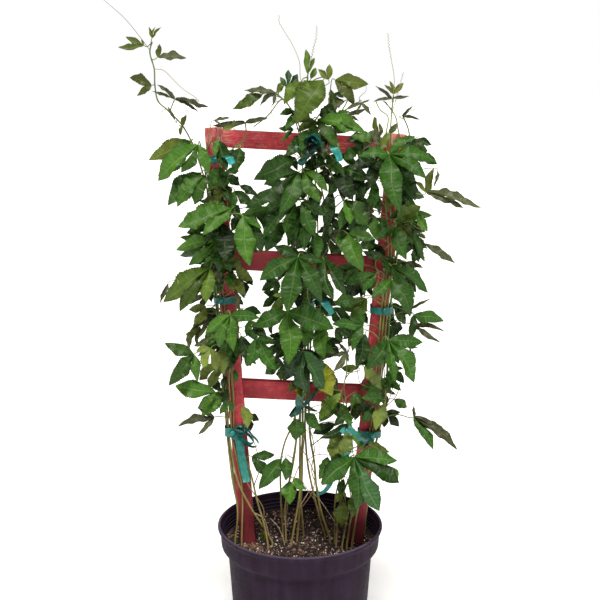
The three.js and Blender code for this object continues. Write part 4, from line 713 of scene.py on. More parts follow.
def thinned(line, slack):
    """A line without the points that lie closer than the slack to the chord past them."""
    chord = line[-1] - line[0]
    t = np.clip((line - line[0]) @ chord / (chord @ chord), 0, 1)
    far = np.linalg.norm(line - line[0] - t[:, None] * chord, axis=1)
    split = int(far.argmax())
    if far[split] <= slack:
        return line[[0, -1]]
    return np.vstack([thinned(line[:split + 1], slack)[:-1], thinned(line[split:], slack)])


# The distance round a bar that its grain is drawn at, whatever its thickness, in metres.
BAR_GIRTH = 0.006


def headings(line):
    """The unit direction of a line at each of its points."""
    along = np.gradient(line, axis=0)
    return along / np.linalg.norm(along, axis=1)[:, None]


def round_bar(path, radius, sides, tone=0.0, lean=None):
    """A round bar along a path: at each point a circle square to the path, its first corner kept
    nearest to one fixed direction, which is the lean or the one that the path spreads in least."""
    path = np.asarray(path, float)
    along = headings(path)
    if lean is None:
        lean = np.linalg.svd(path - path.mean(0), full_matrices=True)[2][2]
    side = lean - (along @ lean)[:, None] * along
    side /= np.linalg.norm(side, axis=1)[:, None]
    over = np.cross(along, side)
    a = 2 * np.pi * np.arange(sides) / sides
    r = np.broadcast_to(radius, len(path))[:, None, None]
    rings = path[:, None] + r * (side[:, None] * np.cos(a)[None, :, None]
                                 + over[:, None] * np.sin(a)[None, :, None])
    return skin(rings, run_of(path) * MM, np.linspace(0, BAR_GIRTH, sides + 1), tone=tone)


def corners_of(node):
    """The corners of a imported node's mesh, in mm."""
    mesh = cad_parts[node].data
    co = np.zeros(len(mesh.vertices) * 3, np.float32)
    mesh.vertices.foreach_get("co", co)
    return co.reshape(-1, 3) / MM


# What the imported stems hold, point by point: every leaf is found again by its lobe tips.
vine_points, vine_names = [], []
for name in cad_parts:
    if name.startswith("vine_"):
        points = corners_of(name)
        vine_points.append(points)
        vine_names += [name.removeprefix("vine_")] * len(points)
vine_points = np.concatenate(vine_points)
finder = KDTree(len(vine_points))
for i, p in enumerate(vine_points):
    finder.insert(p, i)
finder.balance()

# Each stem with few points, as it was packed, then the joints of its leaf stalks and its skins.
STEM_BEND = 1.3
coarse, joints, stem_skins = {}, {}, {}
for name in STEMS:
    foot = np.array([[*STEMS[name][0], STEM_FOOT]])
    coarse[name] = np.vstack([foot, thinned(even_points(stem_knots(name), 8.0), STEM_BEND)])
    joints[name], stem_skins[name] = [], []

# ---------------------------------------------------------------- leaves
# Palmate leaves of two to five lance-shaped lobes, finely toothed, glossy above and paler below,
# each on a slender stalk. The rows give the hub, where stalk meets blade, as (x, z, y), the half
# breadth of a lobe over its length, a shade letter, and the tip of each lobe as (dx, dz).

# Shade letters: d deep, m middle, l light, p pale, g yellow-green, y yellow, o olive young,
# b blue-green, k grey-brown and dry. A row has one letter for the leaf or one for each lobe.
LEAF_SHADES = {"d": 0.07, "m": 0.19, "l": 0.33, "p": 0.46, "g": 0.57, "y": 0.67, "o": 0.78,
               "b": 0.88, "k": 1.0}

LEAVES = {
    "L": [
        # rising shoot
        (-242, 1031, -14, 0.16, "o", (-39, -5, -28, 12, -4, 9)),
        (-229, 1042, -13, 0.14, "o", (-5, 17, 5, 17, 15, 16)),
        (-221, 1013, -16, 0.2, "ok", (2, 20, 45, -2)),
        (-232, 970, -12, 0.22, "o", (-34, 11, -22, -17)),
        (-196, 949, -20, 0.09, "k", (-28, 22, -35, 13, 53, -15, 37, -20)),
        (-197, 917, -22, 0.16, "k", (-11, 22)),
        (-186, 907, -20, 0.24, "o", (8, 17, -3, -14)),
        # head of the left column
        (-173, 884, -20, 0.2, "ol", (-65, -30, -50, -56)),
        (-161, 878, -46, 0.21, "l", (-64, -55, -26, -44, 17, -45)),
        (-151, 830, -42, 0.23, "l", (-46, -46, -13, -45)),
        (-157, 834, -22, 0.22, "m", (-51, -50)),
        (-127, 884, -34, 0.2, "m", (14, -47)),
        (-131, 886, -24, 0.22, "l", (-2, -26)),
        (-86, 912, -12, 0.1, "k", (-52, -4, 37, 8)),
        (-106, 905, -20, 0.26, "o", (-17, -2, 2, 12)),
        (-110, 777, -54, 0.2, "l", (-83, -33, -43, -43)),
        (-127, 755, -44, 0.24, "d", (7, -62, -24, -30)),
        (-91, 765, -60, 0.18, "l", (10, -79, 30, -21, 43, 14)),
        (-135, 726, -30, 0.2, "l", (-64, -14, -43, -38, -16, -36)),
        (-146, 680, -40, 0.22, "g", (-73, -54, -48, -66, -5, -54)),
        (-105, 696, -46, 0.5, "p", (-8, -15, 9, -15)),
        # middle and foot of the left column
        (-144, 603, -16, 0.16, "k", (-34, -24, -23, -38)),
        (-114, 602, -56, 0.2, "lllm", (-41, -31, -20, -52, 7, -58, 49, -3)),
        (-175, 535, -36, 0.19, "l", (-48, 19, -40, -46, 7, -42)),
        (-147, 545, -50, 0.3, "p", (-24, -4, -12, -30, 10, -35)),
        (-129, 549, -30, 0.18, "p", (4, -42)),
        (-140, 470, -40, 0.19, "l", (-70, 8, -31, -28)),
        (-143, 427, -28, 0.11, "k", (-60, -10, -27, -26, -28, 15)),
        (-71, 562, -46, 0.2, "m", (-21, 14, -17, -44, 31, -52, 32, -5)),
        (-81, 357, -34, 0.22, "m", (39, -1, 30, -36)),
        (-150, 640, -18, 0.18, "k", (-30, -20, -12, -36)),
        # small leaves between the larger ones
        (-75, 773, -40, 0.22, "m", (14, -62, 32, -36)),
        (-104, 805, -30, 0.24, "m", (30, -22, -4, -35)),
        (-137, 517, -22, 0.26, "p", (-30, -26, -11, -38)),
        (-97, 567, -26, 0.26, "d", (16, -49)),
        (-133, 471, -18, 0.26, "l", (-29, -37)),
        (-95, 873, -22, 0.26, "m", (-7, -38)),
        (-104, 680, -28, 0.24, "o", (27, -21)),
        (-152, 752, -18, 0.3, "l", (-31, -15)),
        (-139, 578, -18, 0.3, "l", (-17, -25)),
    ],
    "C": [
        # head of the middle bundle
        (36, 978, -38, 0.27, "g", (-42, -68)),
        (-19, 966, -22, 0.27, "b", (-12, 17, 0, 27, 15, 21)),
        (-59, 956, -18, 0.18, "g", (-46, -24)),
        (-38, 959, -24, 0.16, "k", (-50, 2, -25, -20, -5, -20)),
        (-36, 959, -14, 0.24, "o", (12, 17)),
        (44, 979, -14, 0.24, "o", (-16, 16, 2, 23)),
        (55, 978, -16, 0.2, "oo", (53, -6, 31, -38)),
        (53, 946, -20, 0.24, "g", (-5, 17, 15, 1)),
        (97, 943, -16, 0.2, "k", (-25, -10, -9, -12, 12, 5, 14, -19)),
        (28, 918, -42, 0.2, "l", (72, -24, 30, -44)),
        (31, 897, -52, 0.22, "od", (32, -38, 6, -42)),
        (12, 988, -18, 0.13, "g", (-3, 38, 11, 26)),
        (3, 976, -28, 0.24, "g", (-28, -34, -2, -50)),
        (19, 916, -24, 0.22, "o", (-24, -18, -34, 6)),
        # middle bundle down to the middle rung
        (-10, 853, -32, 0.22, "m", (-64, -28)),
        (-2, 835, -50, 0.19, "m", (-30, -66, -84, -58, -56, -20)),
        (-8, 786, -58, 0.22, "m", (-50, -56, -58, -20, -16, -48)),
        (2, 787, -60, 0.2, "m", (22, -56, 40, -22)),
        (7, 835, -46, 0.21, "l", (37, -29, 26, -48)),
        (-3, 698, -66, 0.19, "m", (-40, 17, -61, -39, -17, -88, 38, -68, 42, -8)),
        (64, 841, -38, 0.24, "d", (48, -16, 20, -50)),
        (71, 790, -50, 0.26, "l", (37, -42, 8, -38)),
        (39, 693, -48, 0.21, "d", (34, -49, 14, -58)),
        (77, 736, -54, 0.24, "l", (23, -56, 42, -6)),
        (22, 740, -34, 0.2, "m", (-30, -30, 8, -44)),
        # middle bundle down to the lower rung
        (-21, 607, -60, 0.24, "mlm", (-55, -21, 1, -82, 77, -28)),
        (28, 597, -46, 0.22, "l", (-22, -46, 12, -62)),
        (0, 541, -46, 0.24, "d", (-30, -50, 14, -68, 34, -12)),
        (35, 519, -62, 0.28, "y", (17, -48)),
        (-1, 492, -26, 0.26, "y", (-2, -30)),
        (-50, 590, -36, 0.18, "d", (-32, -8, 4, -20)),
        # low leaves of the middle stems
        (-7, 424, -46, 0.38, "l", (0, -33)),
        (8, 434, -40, 0.22, "m", (26, -29)),
        (7, 446, -30, 0.16, "k", (24, -6)),
        (-17, 313, -30, 0.36, "l", (0, -38)),
        (-12, 317, -40, 0.26, "l", (24, -15)),
        (-24, 355, -26, 0.27, "m", (0, -34)),
        (-32, 353, -22, 0.2, "m", (-37, -43)),
        # small leaves between the larger ones
        (65, 864, -24, 0.2, "l", (-27, -22, 27, -19)),
        (73, 838, -20, 0.24, "d", (-28, -41, -4, -49)),
        (83, 787, -34, 0.26, "m", (-22, -42, -1, -50)),
        (49, 806, -26, 0.15, "d", (-8, -66)),
        (5, 768, -34, 0.24, "m", (-23, -52, 3, -57)),
        (-29, 755, -26, 0.24, "m", (-26, -45)),
        (75, 395, -26, 0.42, "p", (-20, -41)),
        (70, 946, -22, 0.22, "k", (-38, -19)),
        (59, 415, -22, 0.22, "d", (-38, -18)),
        (63, 543, -26, 0.24, "k", (-41, -19)),
    ],
    "R": [
        # top shoots of the right column
        (146, 957, -15, 0.16, "o", (-15, 13, -6, 20, 17, 17)),
        (144, 950, -22, 0.12, "k", (-26, 20, -30, -5, 27, 3)),
        (160, 923, -2, 0.07, "k", (18, 16, 29, -6)),
        (139, 938, -12, 0.1, "k", (-9, 8)),
        # head of the right column
        (141, 863, -62, 0.19, "mmmml", (-49, -6, 14, -84, 57, -39, 74, -9, 32, 30)),
        (150, 855, -40, 0.2, "m", (30, -64, -4, -40)),
        (201, 803, -12, 0.13, "okko", (14, 36, 85, -24, 58, -27, -20, 17)),
        (155, 760, -42, 0.28, "g", (39, 20)),
        (152, 747, -54, 0.22, "m", (-32, -19, 18, -51)),
        (175, 748, -26, 0.14, "m", (22, -51, 5, -28)),
        (201, 720, -18, 0.11, "k", (50, -31)),
        (126, 891, -26, 0.24, "o", (-9, 30, -1, 20)),
        (124, 886, -34, 0.2, "l", (-46, 3)),
        (123, 853, -28, 0.22, "d", (-45, -15, -14, -42)),
        (136, 697, -36, 0.2, "d", (-34, 9)),
        (112, 770, -34, 0.22, "l", (-30, -40, 14, -46)),
        # middle of the right column
        (148, 660, -52, 0.21, "m", (-34, -27, 31, -55)),
        (148, 684, -36, 0.2, "m", (58, -45, 38, -52)),
        (181, 612, -14, 0.12, "k", (33, 16)),
        (123, 670, -48, 0.2, "m", (-50, -18, -22, -30)),
        (103, 584, -46, 0.19, "m", (-51, 2, -26, 17, -4, 30, -18, -41)),
        (90, 629, -44, 0.3, "m", (-34, -9)),
        (145, 559, -58, 0.22, "m", (-36, -41, 8, -64, 37, -68, 58, -7)),
        (186, 602, -22, 0.19, "m", (51, -12, -8, -40)),
        (184, 586, -8, 0.1, "k", (52, -9, 45, -26)),
        (180, 546, -20, 0.12, "k", (16, 3, 8, -16)),
        (106, 513, -50, 0.24, "p", (28, -38)),
        (138, 458, -44, 0.26, "m", (-36, 3)),
        (140, 450, -34, 0.24, "p", (-15, -42)),
        (117, 440, -36, 0.26, "m", (-15, -22)),
        # free lateral between the lower rung and the middle one
        (77, 539, -34, 0.2, "k", (-23, -29, -24, -5, 3, -16, -15, 16)),
        (96, 512, -34, 0.22, "g", (-28, -2, -3, 15)),
        (63, 452, -32, 0.18, "l", (-32, -31, 24, -29)),
        (84, 415, -38, 0.12, "d", (-53, -19)),
        # low leaves of the right stems
        (91, 356, -78, 0.24, "mmbmm", (-57, -40, 4, -78, 40, -82, 74, -42, 72, -9)),
        (114, 382, -50, 0.2, "p", (37, -18)),
        (74, 354, -56, 0.24, "p", (8, 44)),
        (88, 404, -44, 0.22, "l", (17, -30)),
        (190, 427, -18, 0.18, "kkkm", (0, 17, 48, -16, 70, -52, 31, -50)),
        # small leaves between the larger ones
        (118, 822, -30, 0.22, "m", (-31, -37, -9, -51)),
        (82, 365, -44, 0.25, "m", (-50, -45)),
        (109, 629, -32, 0.22, "g", (-45, -18, -27, -40)),
        (104, 657, -26, 0.3, "d", (-32, -20)),
        (107, 570, -30, 0.24, "d", (-14, -53)),
        (121, 727, -30, 0.3, "m", (-27, -15)),
        (164, 590, -24, 0.26, "d", (-18, -24)),
    ],
}

# Leaves on the far side of the columns: column, first height, last height, leaves. Each hangs out
# to one side in three lobes, and those of the centre to the left and the right in turn.
BACK_LEAVES = [("L", 440, 850, 6), ("C", 520, 860, 5), ("R", 470, 850, 6)]
for c, (column, low, high, count) in enumerate(BACK_LEAVES):
    for i in range(count):
        k = 40 * c + i
        z = low + (high - low) * (i + 0.6 * float(draw(k, 1))) / count
        out = {"L": -1, "R": 1}.get(column, 1 if i % 2 else -1)
        far = 42 + 18 * float(draw(k, 2))
        x = column_x(column, z) + out * (17 + 12 * float(draw(k, 3)))
        tips = []
        for j, f in enumerate((0.8, 1, 0.8)):
            a = -1.75 + out * (0.75 - 0.62 * (j - 1)) - 0.3 * float(draw(k, 4))
            tips += [far * f * math.cos(a), far * f * math.sin(a)]
        LEAVES[column].append((x, z, 44 + 10 * float(draw(k, 5)), 0.2, "m", tips))

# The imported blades' thickness, in mm.
BLADE_THICK = 0.8


def blade_frame(hub, lean):
    """The leaf's own axes: n out of the upper face, which leans by the depth gained per mm to the
    right and per mm up, e across it to the right and f up it."""
    n = np.array([lean[0], -1, lean[1]]) / math.sqrt(lean[0] ** 2 + 1 + lean[1] ** 2)
    e = np.array([1, lean[0], 0]) / math.hypot(1, lean[0])
    return np.asarray(hub, float), n, e, np.cross(n, e)


def lobes_of(axes, tips, scale):
    """Each lobe's angle and length in the leaf's plane, in order round the hub from one side of
    the stalk to the other, with half the gap to its neighbour on each side."""
    _, n, e, f = axes
    found = []
    for i, (dx, dz) in enumerate(np.reshape(tips, (-1, 2)) * scale):
        d = np.array([dx, (n[0] * dx + n[2] * dz) / -n[1], dz])
        found.append((math.atan2(d @ f, d @ e), math.hypot(d @ e, d @ f), i))
    found.sort()
    turn = 2 * math.pi
    gaps = [(found[(i + 1) % len(found)][0] - found[i][0]) % turn for i in range(len(found))]
    if len(found) == 1:
        gaps = [turn]
    first = (gaps.index(max(gaps)) + 1) % len(found)
    lobes = []
    for i in range(len(found)):
        a, l, tip = found[(first + i) % len(found)]
        a = a + turn if lobes and a < lobes[-1][0] else a
        lobes.append([a, l, max(gaps) / 2, max(gaps) / 2, tip])
    for p, q in zip(lobes, lobes[1:]):
        p[3] = q[2] = (q[0] - p[0]) / 2
    return lobes


# A leaf stalk joins its stem at least this far above the soil, and it is straight where it is
# shorter than this, in mm.
FIRST_JOINT = 6
STRAIGHT_STALK = 32


def petiole_path(stem, hub, foot, slide):
    """The leaf stalk's line: it leaves the stem below the place nearest to the hub by 0.3 of the
    gap there, and rises in a shallow bow, 0.12 of its length, where it is long."""
    sums = run_of(stem)

    def at(s):
        return np.stack([np.interp(s, sums, stem[:, k]) for k in range(3)], axis=-1)

    s = np.arange(sums[1] + FIRST_JOINT, sums[-1] + 1e-9, 4.0)
    away = np.linalg.norm(at(s) - hub, axis=1)
    best = s[away.argmin()]
    place = min(max(best + slide - 0.3 * away.min(), sums[1] + FIRST_JOINT), sums[-1] - 1)
    root = at(place)
    gap = np.linalg.norm(root - foot)
    if gap < STRAIGHT_STALK:
        return np.array([root, foot]), root
    return np.array([root, (root + foot) / 2 + [0, 0, 0.12 * gap], foot]), root


def stalk_corners(axes, path, r):
    """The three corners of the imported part's stalk where it meets the blade: it is a three-sided
    bar that has thinned by up to 0.28 there."""
    hub, n, _, _ = axes
    j = len(path) - 1
    along = hub - path[j - 1]
    along /= np.linalg.norm(along)
    up = n - (n @ along) * along
    up /= np.linalg.norm(up)
    wide = np.cross(along, up)
    size = r * (1 - 0.28 * j / len(path))
    return [path[j] + size * (u * wide + v * up) for u, v in ((0.87, 0.5), (-0.87, 0.5), (0, -1))]


def on_rim(axes, lobes, reach):
    """The place where the stalk meets the blade: it stands out from the hub by a reach in mm,
    towards the widest gap between the lobes."""
    base = lobes[0][0] - lobes[0][2]
    return axes[0] + reach * (math.cos(base) * axes[2] + math.sin(base) * axes[3])


# A leaf is large where a lobe is longer than this. A leaf that is packed has its tips within
# FOUND of the part's points. A hub further back than BEHIND stands behind the trellis.
LARGE_LEAF = 40.0
FOUND = 0.2
BEHIND = 20
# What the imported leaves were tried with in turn: scale, shift in depth, and slide along the stem.
SHRINKS = (1, 0.8, 0.62)
SWINGS = (0, -5, 5, -10, 10, -16, 16, -23, 23, -31, -40)
SLIDES = (0, 12, -12, 26, -26)


def find_leaf(row, seed):
    """Where the leaf of a row really stands: the stem, shift in depth, scale and slide along the
    stem for which its lobe tips, and then the corners of its stalk, are points of the part."""
    x, z, y, _, _, tips = row
    lean = (0.6 * (float(draw(seed, 1)) - 0.5),
            (-1 if y > BEHIND else 1) * (0.15 + 0.45 * float(draw(seed, 2))))
    best = (1e9,)
    for shrink in SHRINKS:
        for swing in SWINGS:
            depth = y + swing
            axes = blade_frame((x, depth, z) if y > BEHIND else seen(x, z, depth), lean)
            lobes = lobes_of(axes, tips, shrink * (EYE_BACK + depth) / EYE_BACK)
            off, owner = 0, None
            for a, l, *_ in lobes:
                tip = axes[0] + l * (math.cos(a) * axes[2] + math.sin(a) * axes[3])
                _, index, gap = finder.find(tip + axes[1] * BLADE_THICK / 2)
                off, owner = max(off, gap), vine_names[index]
            if off < best[0]:
                best = (off, owner, axes, lobes)
    off, owner, axes, lobes = best
    if off > FOUND:
        raise ValueError(f"no packed leaf has its hub at {x}, {z}")
    foot = on_rim(axes, lobes, 5)
    r = 1.25 if max(lobe[1] for lobe in lobes) > LARGE_LEAF else 1.0
    fits = []
    for slide in SLIDES:
        path, root = petiole_path(coarse[owner], axes[0], foot, slide)
        fits.append((sum(finder.find(p)[2] for p in stalk_corners(axes, path, r)), path, root))
    return owner, axes, lobes, *min(fits, key=lambda fit: fit[0])[1:]


# The columns of a blade's upper face from the left margin to the right: a large leaf, a small one.
ACROSS = np.array([1, 0.8, 0.58, 0.36, 0.12, 0, -0.12, -0.36, -0.58, -0.8, -1])
FEW_ACROSS = np.array([1, 0.6, 0.14, 0, -0.14, -0.6, -1])
# How far apart the teeth and the side veins are, how much broader a lobe is than its row says, the
# length from which a midrib is steadied at two places, and that below which it arches less, in mm.
TOOTH = 3.6
VEIN_STEP = 6.5
FULLNESS = 1.02
LONG_LOBE = 62.0
SHORT_LOBE = 44.0
# How far apart the lobes' numbers stand in the distance along, and the margin's least half breadth.
LOBE_RUN = 64.0
THIN_TIP = 0.12


def lobe_skin(axes, lobe, i, ends, width, seed, shade, across, dry):
    """One lobe of a blade. Its half breadth rises from the sinus by a rounded sine to the widest
    place, falls to the tip as 1 - u^1.65 and swells and shrinks a little in a slow wave, with teeth
    3.6 mm apart. The midrib arches as 4t(1 - t) and its last part curls as the square of t. The
    margins stand above it by the fold, a wave and a twist times s, and the face between is their
    difference times |s|^1.5. The under face lies 0.5 mm behind and thins to the margin. A dry lobe
    is rolled in, so it is narrower and waves more."""
    hub, n, e, f = axes
    a, l, before, after, _ = lobe
    rows = int(np.clip(round(l / TOOTH) * 2, 8, 44))
    row = np.arange(rows + 1)
    t = np.linspace(0, 1, rows + 1) * 0.985 + 0.005

    def pick(k):
        return float(draw(seed, k + i))

    arch = 0.1 + 0.08 * pick(20)
    fold = 0.14 + 0.2 * pick(30)
    stations = [0.34, 0.66] if l > LONG_LOBE else [0.42]
    peak = 0.38 + 0.12 * pick(140)
    broad = FULLNESS * width * l * (0.68 if dry and width > 0.11 else 1)
    curl = 0.3 * (pick(120) - 0.42) * l * np.clip((t - 0.5) / 0.5, 0, 1) ** 2
    middle = 4 * t * (1 - t) * arch * l * (0.6 if l < SHORT_LOBE else 1) + curl
    outline, edge = [], []
    for k, (gap, inner) in enumerate(((before, ends[0]), (after, ends[1]))):
        ts, ws = (inner * math.cos(gap) / l, inner * math.sin(gap)) if inner else (0.0, 0.4)
        top = max(broad * (0.84 + 0.32 * pick(150 + 10 * k)), ws * 1.02)
        crest = max(peak, ts + 0.12)
        rise = ws + (top - ws) * np.sin(np.pi / 2 * np.clip((t - ts) / (crest - ts), 0, 1)) ** 0.8
        drop = top * (1 - np.clip((t - crest) / (1 - crest), 0, 1) ** 1.65)
        beat = 2 * np.pi * ((1.3 + 1.4 * pick(170)) * t + pick(180 + 10 * k))
        slow = (0.16 if dry else 0.07) * np.sin(beat)
        teeth = np.where(row % 2 == 0, -1, 1) * (0.015 + 0.045 * draw(row + 50 * k, seed + i))
        w = np.where(t < crest, rise, drop) * (1 + (slow + teeth) * np.clip((t - ts) * 6, 0, 1))
        if inner:
            room = t * l * math.tan(min(gap, 1.3))
            w = np.where(t < ts, room, np.minimum(w, 0.97 * room))
        w = np.maximum(w, THIN_TIP)
        waves = [0.05 * l * (float(draw(seed, 50 + 10 * i + 4 * j + k)) - 0.5)
                 for j in range(len(stations))]
        lift = np.interp(t, [0.0, *stations, 1.0],
                         [0, *[4 * q * (1 - q) * arch * l + v for q, v in zip(stations, waves)], 0])
        lift = lift + curl + fold * np.minimum(w, broad)
        seam = 0.03 * t * l / max(math.cos(gap), 0.2) if inner else 0.0 * t
        blend = np.clip((t - ts) / 0.16, 0, 1)
        blend = blend * blend * (3 - 2 * blend)
        beat = 2 * np.pi * ((2.0 + 2.2 * pick(80)) * t + pick(200 + 10 * k))
        ripple = (0.5 if dry else 0.22) * np.sin(beat) + 0.09 * np.sin(2.6 * beat)
        ripple = ripple * np.minimum(w, broad)
        turn = (1 - 2 * k) * 0.9 * (pick(130) - 0.5) * t * w
        outline.append(w)
        edge.append(seam + (lift + ripple + turn - seam) * blend)
    s = across[None, :]
    w = np.where(s > 0, outline[1][:, None], outline[0][:, None]) * s
    high = np.where(s > 0, edge[1][:, None], edge[0][:, None])
    h = middle[:, None] + (high - middle[:, None]) * np.abs(s) ** 1.5
    rib = np.exp(-(s / 0.09) ** 2) * (1 - t)[:, None]
    bow = 0.12 * (pick(90) - 0.5) * l * np.sin(np.pi * t)[:, None]
    c, q = math.cos(a), math.sin(a)

    def place(w, h):
        run = (t * l)[:, None]
        w = w + bow * np.clip((t - 0.2) / 0.3, 0, 1)[:, None]
        return (hub + (run * c - w * q)[..., None] * e + (run * q + w * c)[..., None] * f
                + h[..., None] * n)

    thick = 0.5 * (1 - np.abs(s) ** 4)
    upper = place(w, h - 0.15 * rib)
    under = place(w, h - thick - 0.5 * rib)
    back = slice(-2, 0, -1 if across is FEW_ACROSS else -2)
    rings = np.concatenate([upper, under[:, back]], axis=1)
    paint = np.array([0] * (len(across) - 1) + [1] * (rings.shape[1] - len(across) + 1))
    girth = np.concatenate([0.5 + 0.5 * across, 0.5 + 0.5 * across[back], [1.0]])
    which = LOBE_RUN * (7 * (seed % 97) + i)
    return skin(rings, which + t * l / VEIN_STEP, girth, tone=shade, finish=paint)


def blade(axes, lobes, width, seed, letters, across=ACROSS):
    """The skins of a whole blade, its letters giving each lobe's shade. Two lobes meet in a sinus
    0.07 to 0.26 of their length from the hub, the nearer the wider they spread."""
    sinus = []
    for p, q in zip(lobes, lobes[1:]):
        gap = q[0] - p[0]
        sinus.append((p[1] + q[1]) / 2 * min(0.26, max(0.07, 0.3 - 0.1 * gap)))
    made = []
    for j, lobe in enumerate(lobes):
        ends = (sinus[j - 1] if j else None, sinus[j] if j < len(sinus) else None)
        letter = letters[lobe[4] % len(letters)]
        made.append(lobe_skin(axes, lobe, j, ends, width, seed, LEAF_SHADES[letter], across,
                              dry=letter == "k"))
    return made


# A leaf stalk's radius at the stem and at the blade, and how much the stem swells at its joint.
LARGE_STALK = (1.0, 0.75, 1.35)
SMALL_STALK = (0.8, 0.6, 1.2)
leaf_skins = {name: [] for name in STEMS}
for column, rows in LEAVES.items():
    for i, row in enumerate(rows):
        seed = 100 * ord(column) + i
        owner, axes, lobes, path, root = find_leaf(row, seed)
        leaf_skins[owner] += blade(axes, lobes, row[3], seed, row[4])
        large = max(lobe[1] for lobe in lobes) > LARGE_LEAF
        thick, thin, swell = LARGE_STALK if large else SMALL_STALK
        line = even_points(np.vstack([path, axes[0] + 0.5 * (axes[0] - path[-1]) / 5]), 3.0)
        green = 0.5 + 0.35 * float(draw(seed, 8))
        stem_skins[owner].append(round_bar(line, np.linspace(thick, thin, len(line)), 6, tone=green))
        joints[owner].append((root, swell))

# Small leaves between the large ones, in rows as above: first those with a place of their own.
FILLING = {
    "L": [
        (-164, 582, -16, 0.24, "o", (-21, -40, -6, -30)),
        (-98, 765, -30, 0.28, "d", (-12, -24)),
        (-104, 663, -24, 0.26, "o", (16, -25, -6, -22)),
        (-214, 655, -22, 0.16, "k", (-12, -31)),
        (-77, 580, -30, 0.24, "m", (23, -12, 8, -20)),
        (-144, 493, -24, 0.3, "m", (11, -19)),
        (-147, 693, -26, 0.24, "m", (-23, -7, -12, -20)),
        (-90, 612, -26, 0.24, "m", (26, -10)),
        (-135, 916, -16, 0.14, "k", (25, 5, 12, -9)),
        (-128, 843, -34, 0.26, "l", (-16, -36, 10, -34)),
        (-124, 812, -30, 0.24, "o", (-12, -30, 14, -26)),
        (-133, 790, -32, 0.26, "m", (-8, -34, 16, -24)),
        (-112, 742, -34, 0.26, "d", (6, -40, -18, -30)),
        (-122, 712, -36, 0.24, "m", (10, -34, -10, -36)),
        (-104, 640, -30, 0.24, "k", (6, -30)),
        (-106, 566, -34, 0.24, "m", (6, -36, -14, -26)),
    ],
    "C": [
        (54, 614, -34, 0.25, "m", (31, -22, 12, -30)),
        (43, 854, -40, 0.24, "m", (27, -19)),
        (74, 924, -20, 0.16, "k", (30, 9, 20, -10)),
        (59, 580, -40, 0.24, "m", (26, -13, 10, -24)),
        (77, 436, -36, 0.28, "m", (-20, -18, 6, -24)),
        (47, 356, -30, 0.3, "m", (-15, -32)),
        (17, 980, -22, 0.24, "g", (8, 17)),
        (14, 902, -52, 0.26, "m", (18, -30, -12, -34)),
        (0, 884, -50, 0.28, "d", (-22, -20, 4, -30)),
        (44, 888, -50, 0.26, "d", (-16, -22, 14, -20)),
        (33, 862, -34, 0.26, "d", (-6, -21)),
        (-3, 737, -40, 0.26, "d", (-11, -24)),
        (52, 903, -24, 0.24, "o", (21, -6, 6, -16)),
        (28, 517, -50, 0.3, "l", (-8, -17)),
        (5, 541, -66, 0.4, "b", (8, -66, -22, -44, 32, -60)),
        (38, 522, -58, 0.26, "y", (10, -50)),
        (68, 469, -40, 0.2, "g", (-35, -46)),
        (52, 444, -36, 0.2, "o", (28, -22)),
    ],
    "R": [
        (87, 824, -30, 0.25, "m", (16, -25, -10, -24)),
        (149, 340, -34, 0.26, "l", (16, -25)),
        (117, 794, -30, 0.28, "m", (10, -19)),
        (219, 837, -14, 0.15, "k", (-6, -25)),
        (118, 902, -30, 0.26, "k", (-18, -34, 6, -30)),
        (140, 896, -32, 0.24, "o", (-14, -28, 14, 16)),
        (104, 893, -26, 0.26, "d", (-30, -10, -12, -34)),
        (158, 880, -30, 0.24, "m", (24, 10, 30, -12)),
        (92, 872, -34, 0.26, "m", (-24, -18, 8, -32)),
        (74, 317, -50, 0.24, "m", (-8, -25)),
        (97, 797, -26, 0.24, "d", (8, -24)),
        # withering leaves low on the right stems
        (70, 294, -34, 0.34, "o", (-8, -16, 9, -8)),
        (74, 276, -36, 0.3, "o", (-4, -42)),
        (86, 282, -34, 0.34, "g", (2, -28, 12, -14)),
        (78, 306, -38, 0.3, "o", (-12, -12)),
    ],
}
# Then those that only fill the mass: the column, the heights and the breadth they fill, and how
# many stand in front of the stems and behind them. CLEARINGS (x, z, half width) round the ties
# stay open. The letters are what their shades are drawn from, in front and behind.
THICKET = [("L", 520, 890, 74, 34, 16), ("L", 560, 870, 30, 26, 0), ("L", 430, 520, 46, 5, 3),
           ("C", 470, 960, 104, 44, 22), ("C", 480, 900, 50, 20, 0),
           ("R", 640, 890, 96, 34, 16), ("R", 430, 640, 92, 22, 10)]
CLEARINGS = [(-115, 404, 30), (-116, 632, 20), (-129, 855, 18), (50, 612, 22), (36, 598, 16),
             (126, 612, 26), (100, 402, 32), (6, 462, 14), (53, 862, 10)]
FRONT_LETTERS = "dmddmlgmdmolkmd"
BACK_LETTERS = "dddmd"
for g, (column, low, high, breadth, front, behind) in enumerate(THICKET):
    for i in range(front + behind):
        d = draw(37 * g + i, np.arange(12) + 3.0)
        z = low + (high - low) * (i % front + d[0]) / front if i < front else low + (high - low) * d[0]
        x = column_x(column, z) + breadth * (d[1] - 0.5)
        y = -15 - 21 * d[2] if i < front else 15 + 22 * d[2]
        point = -math.pi / 2 + 1.5 * (d[1] - 0.5) + 0.9 * (d[3] - 0.5)
        reach = 21 + 15 * d[4]
        tips = []
        for k in range(1 + int(d[5] > 0.25) + int(d[5] > 0.7)):
            a = point + (0, 0.85, -0.85)[k] * (1 if d[6] > 0.5 else -1)
            far = reach * (1, 0.8, 0.7)[k]
            tips += [far * math.cos(a), far * math.sin(a)]
        letters = FRONT_LETTERS if i < front else BACK_LETTERS
        letter = letters[int(len(letters) * d[7])]
        if y > 0 or all(abs(x - a) > b + 12 or not c - b < z < c + 10 + b for a, c, b in CLEARINGS):
            FILLING[column].append((x, z, y, 0.2 + 0.08 * d[8], letter, tips))

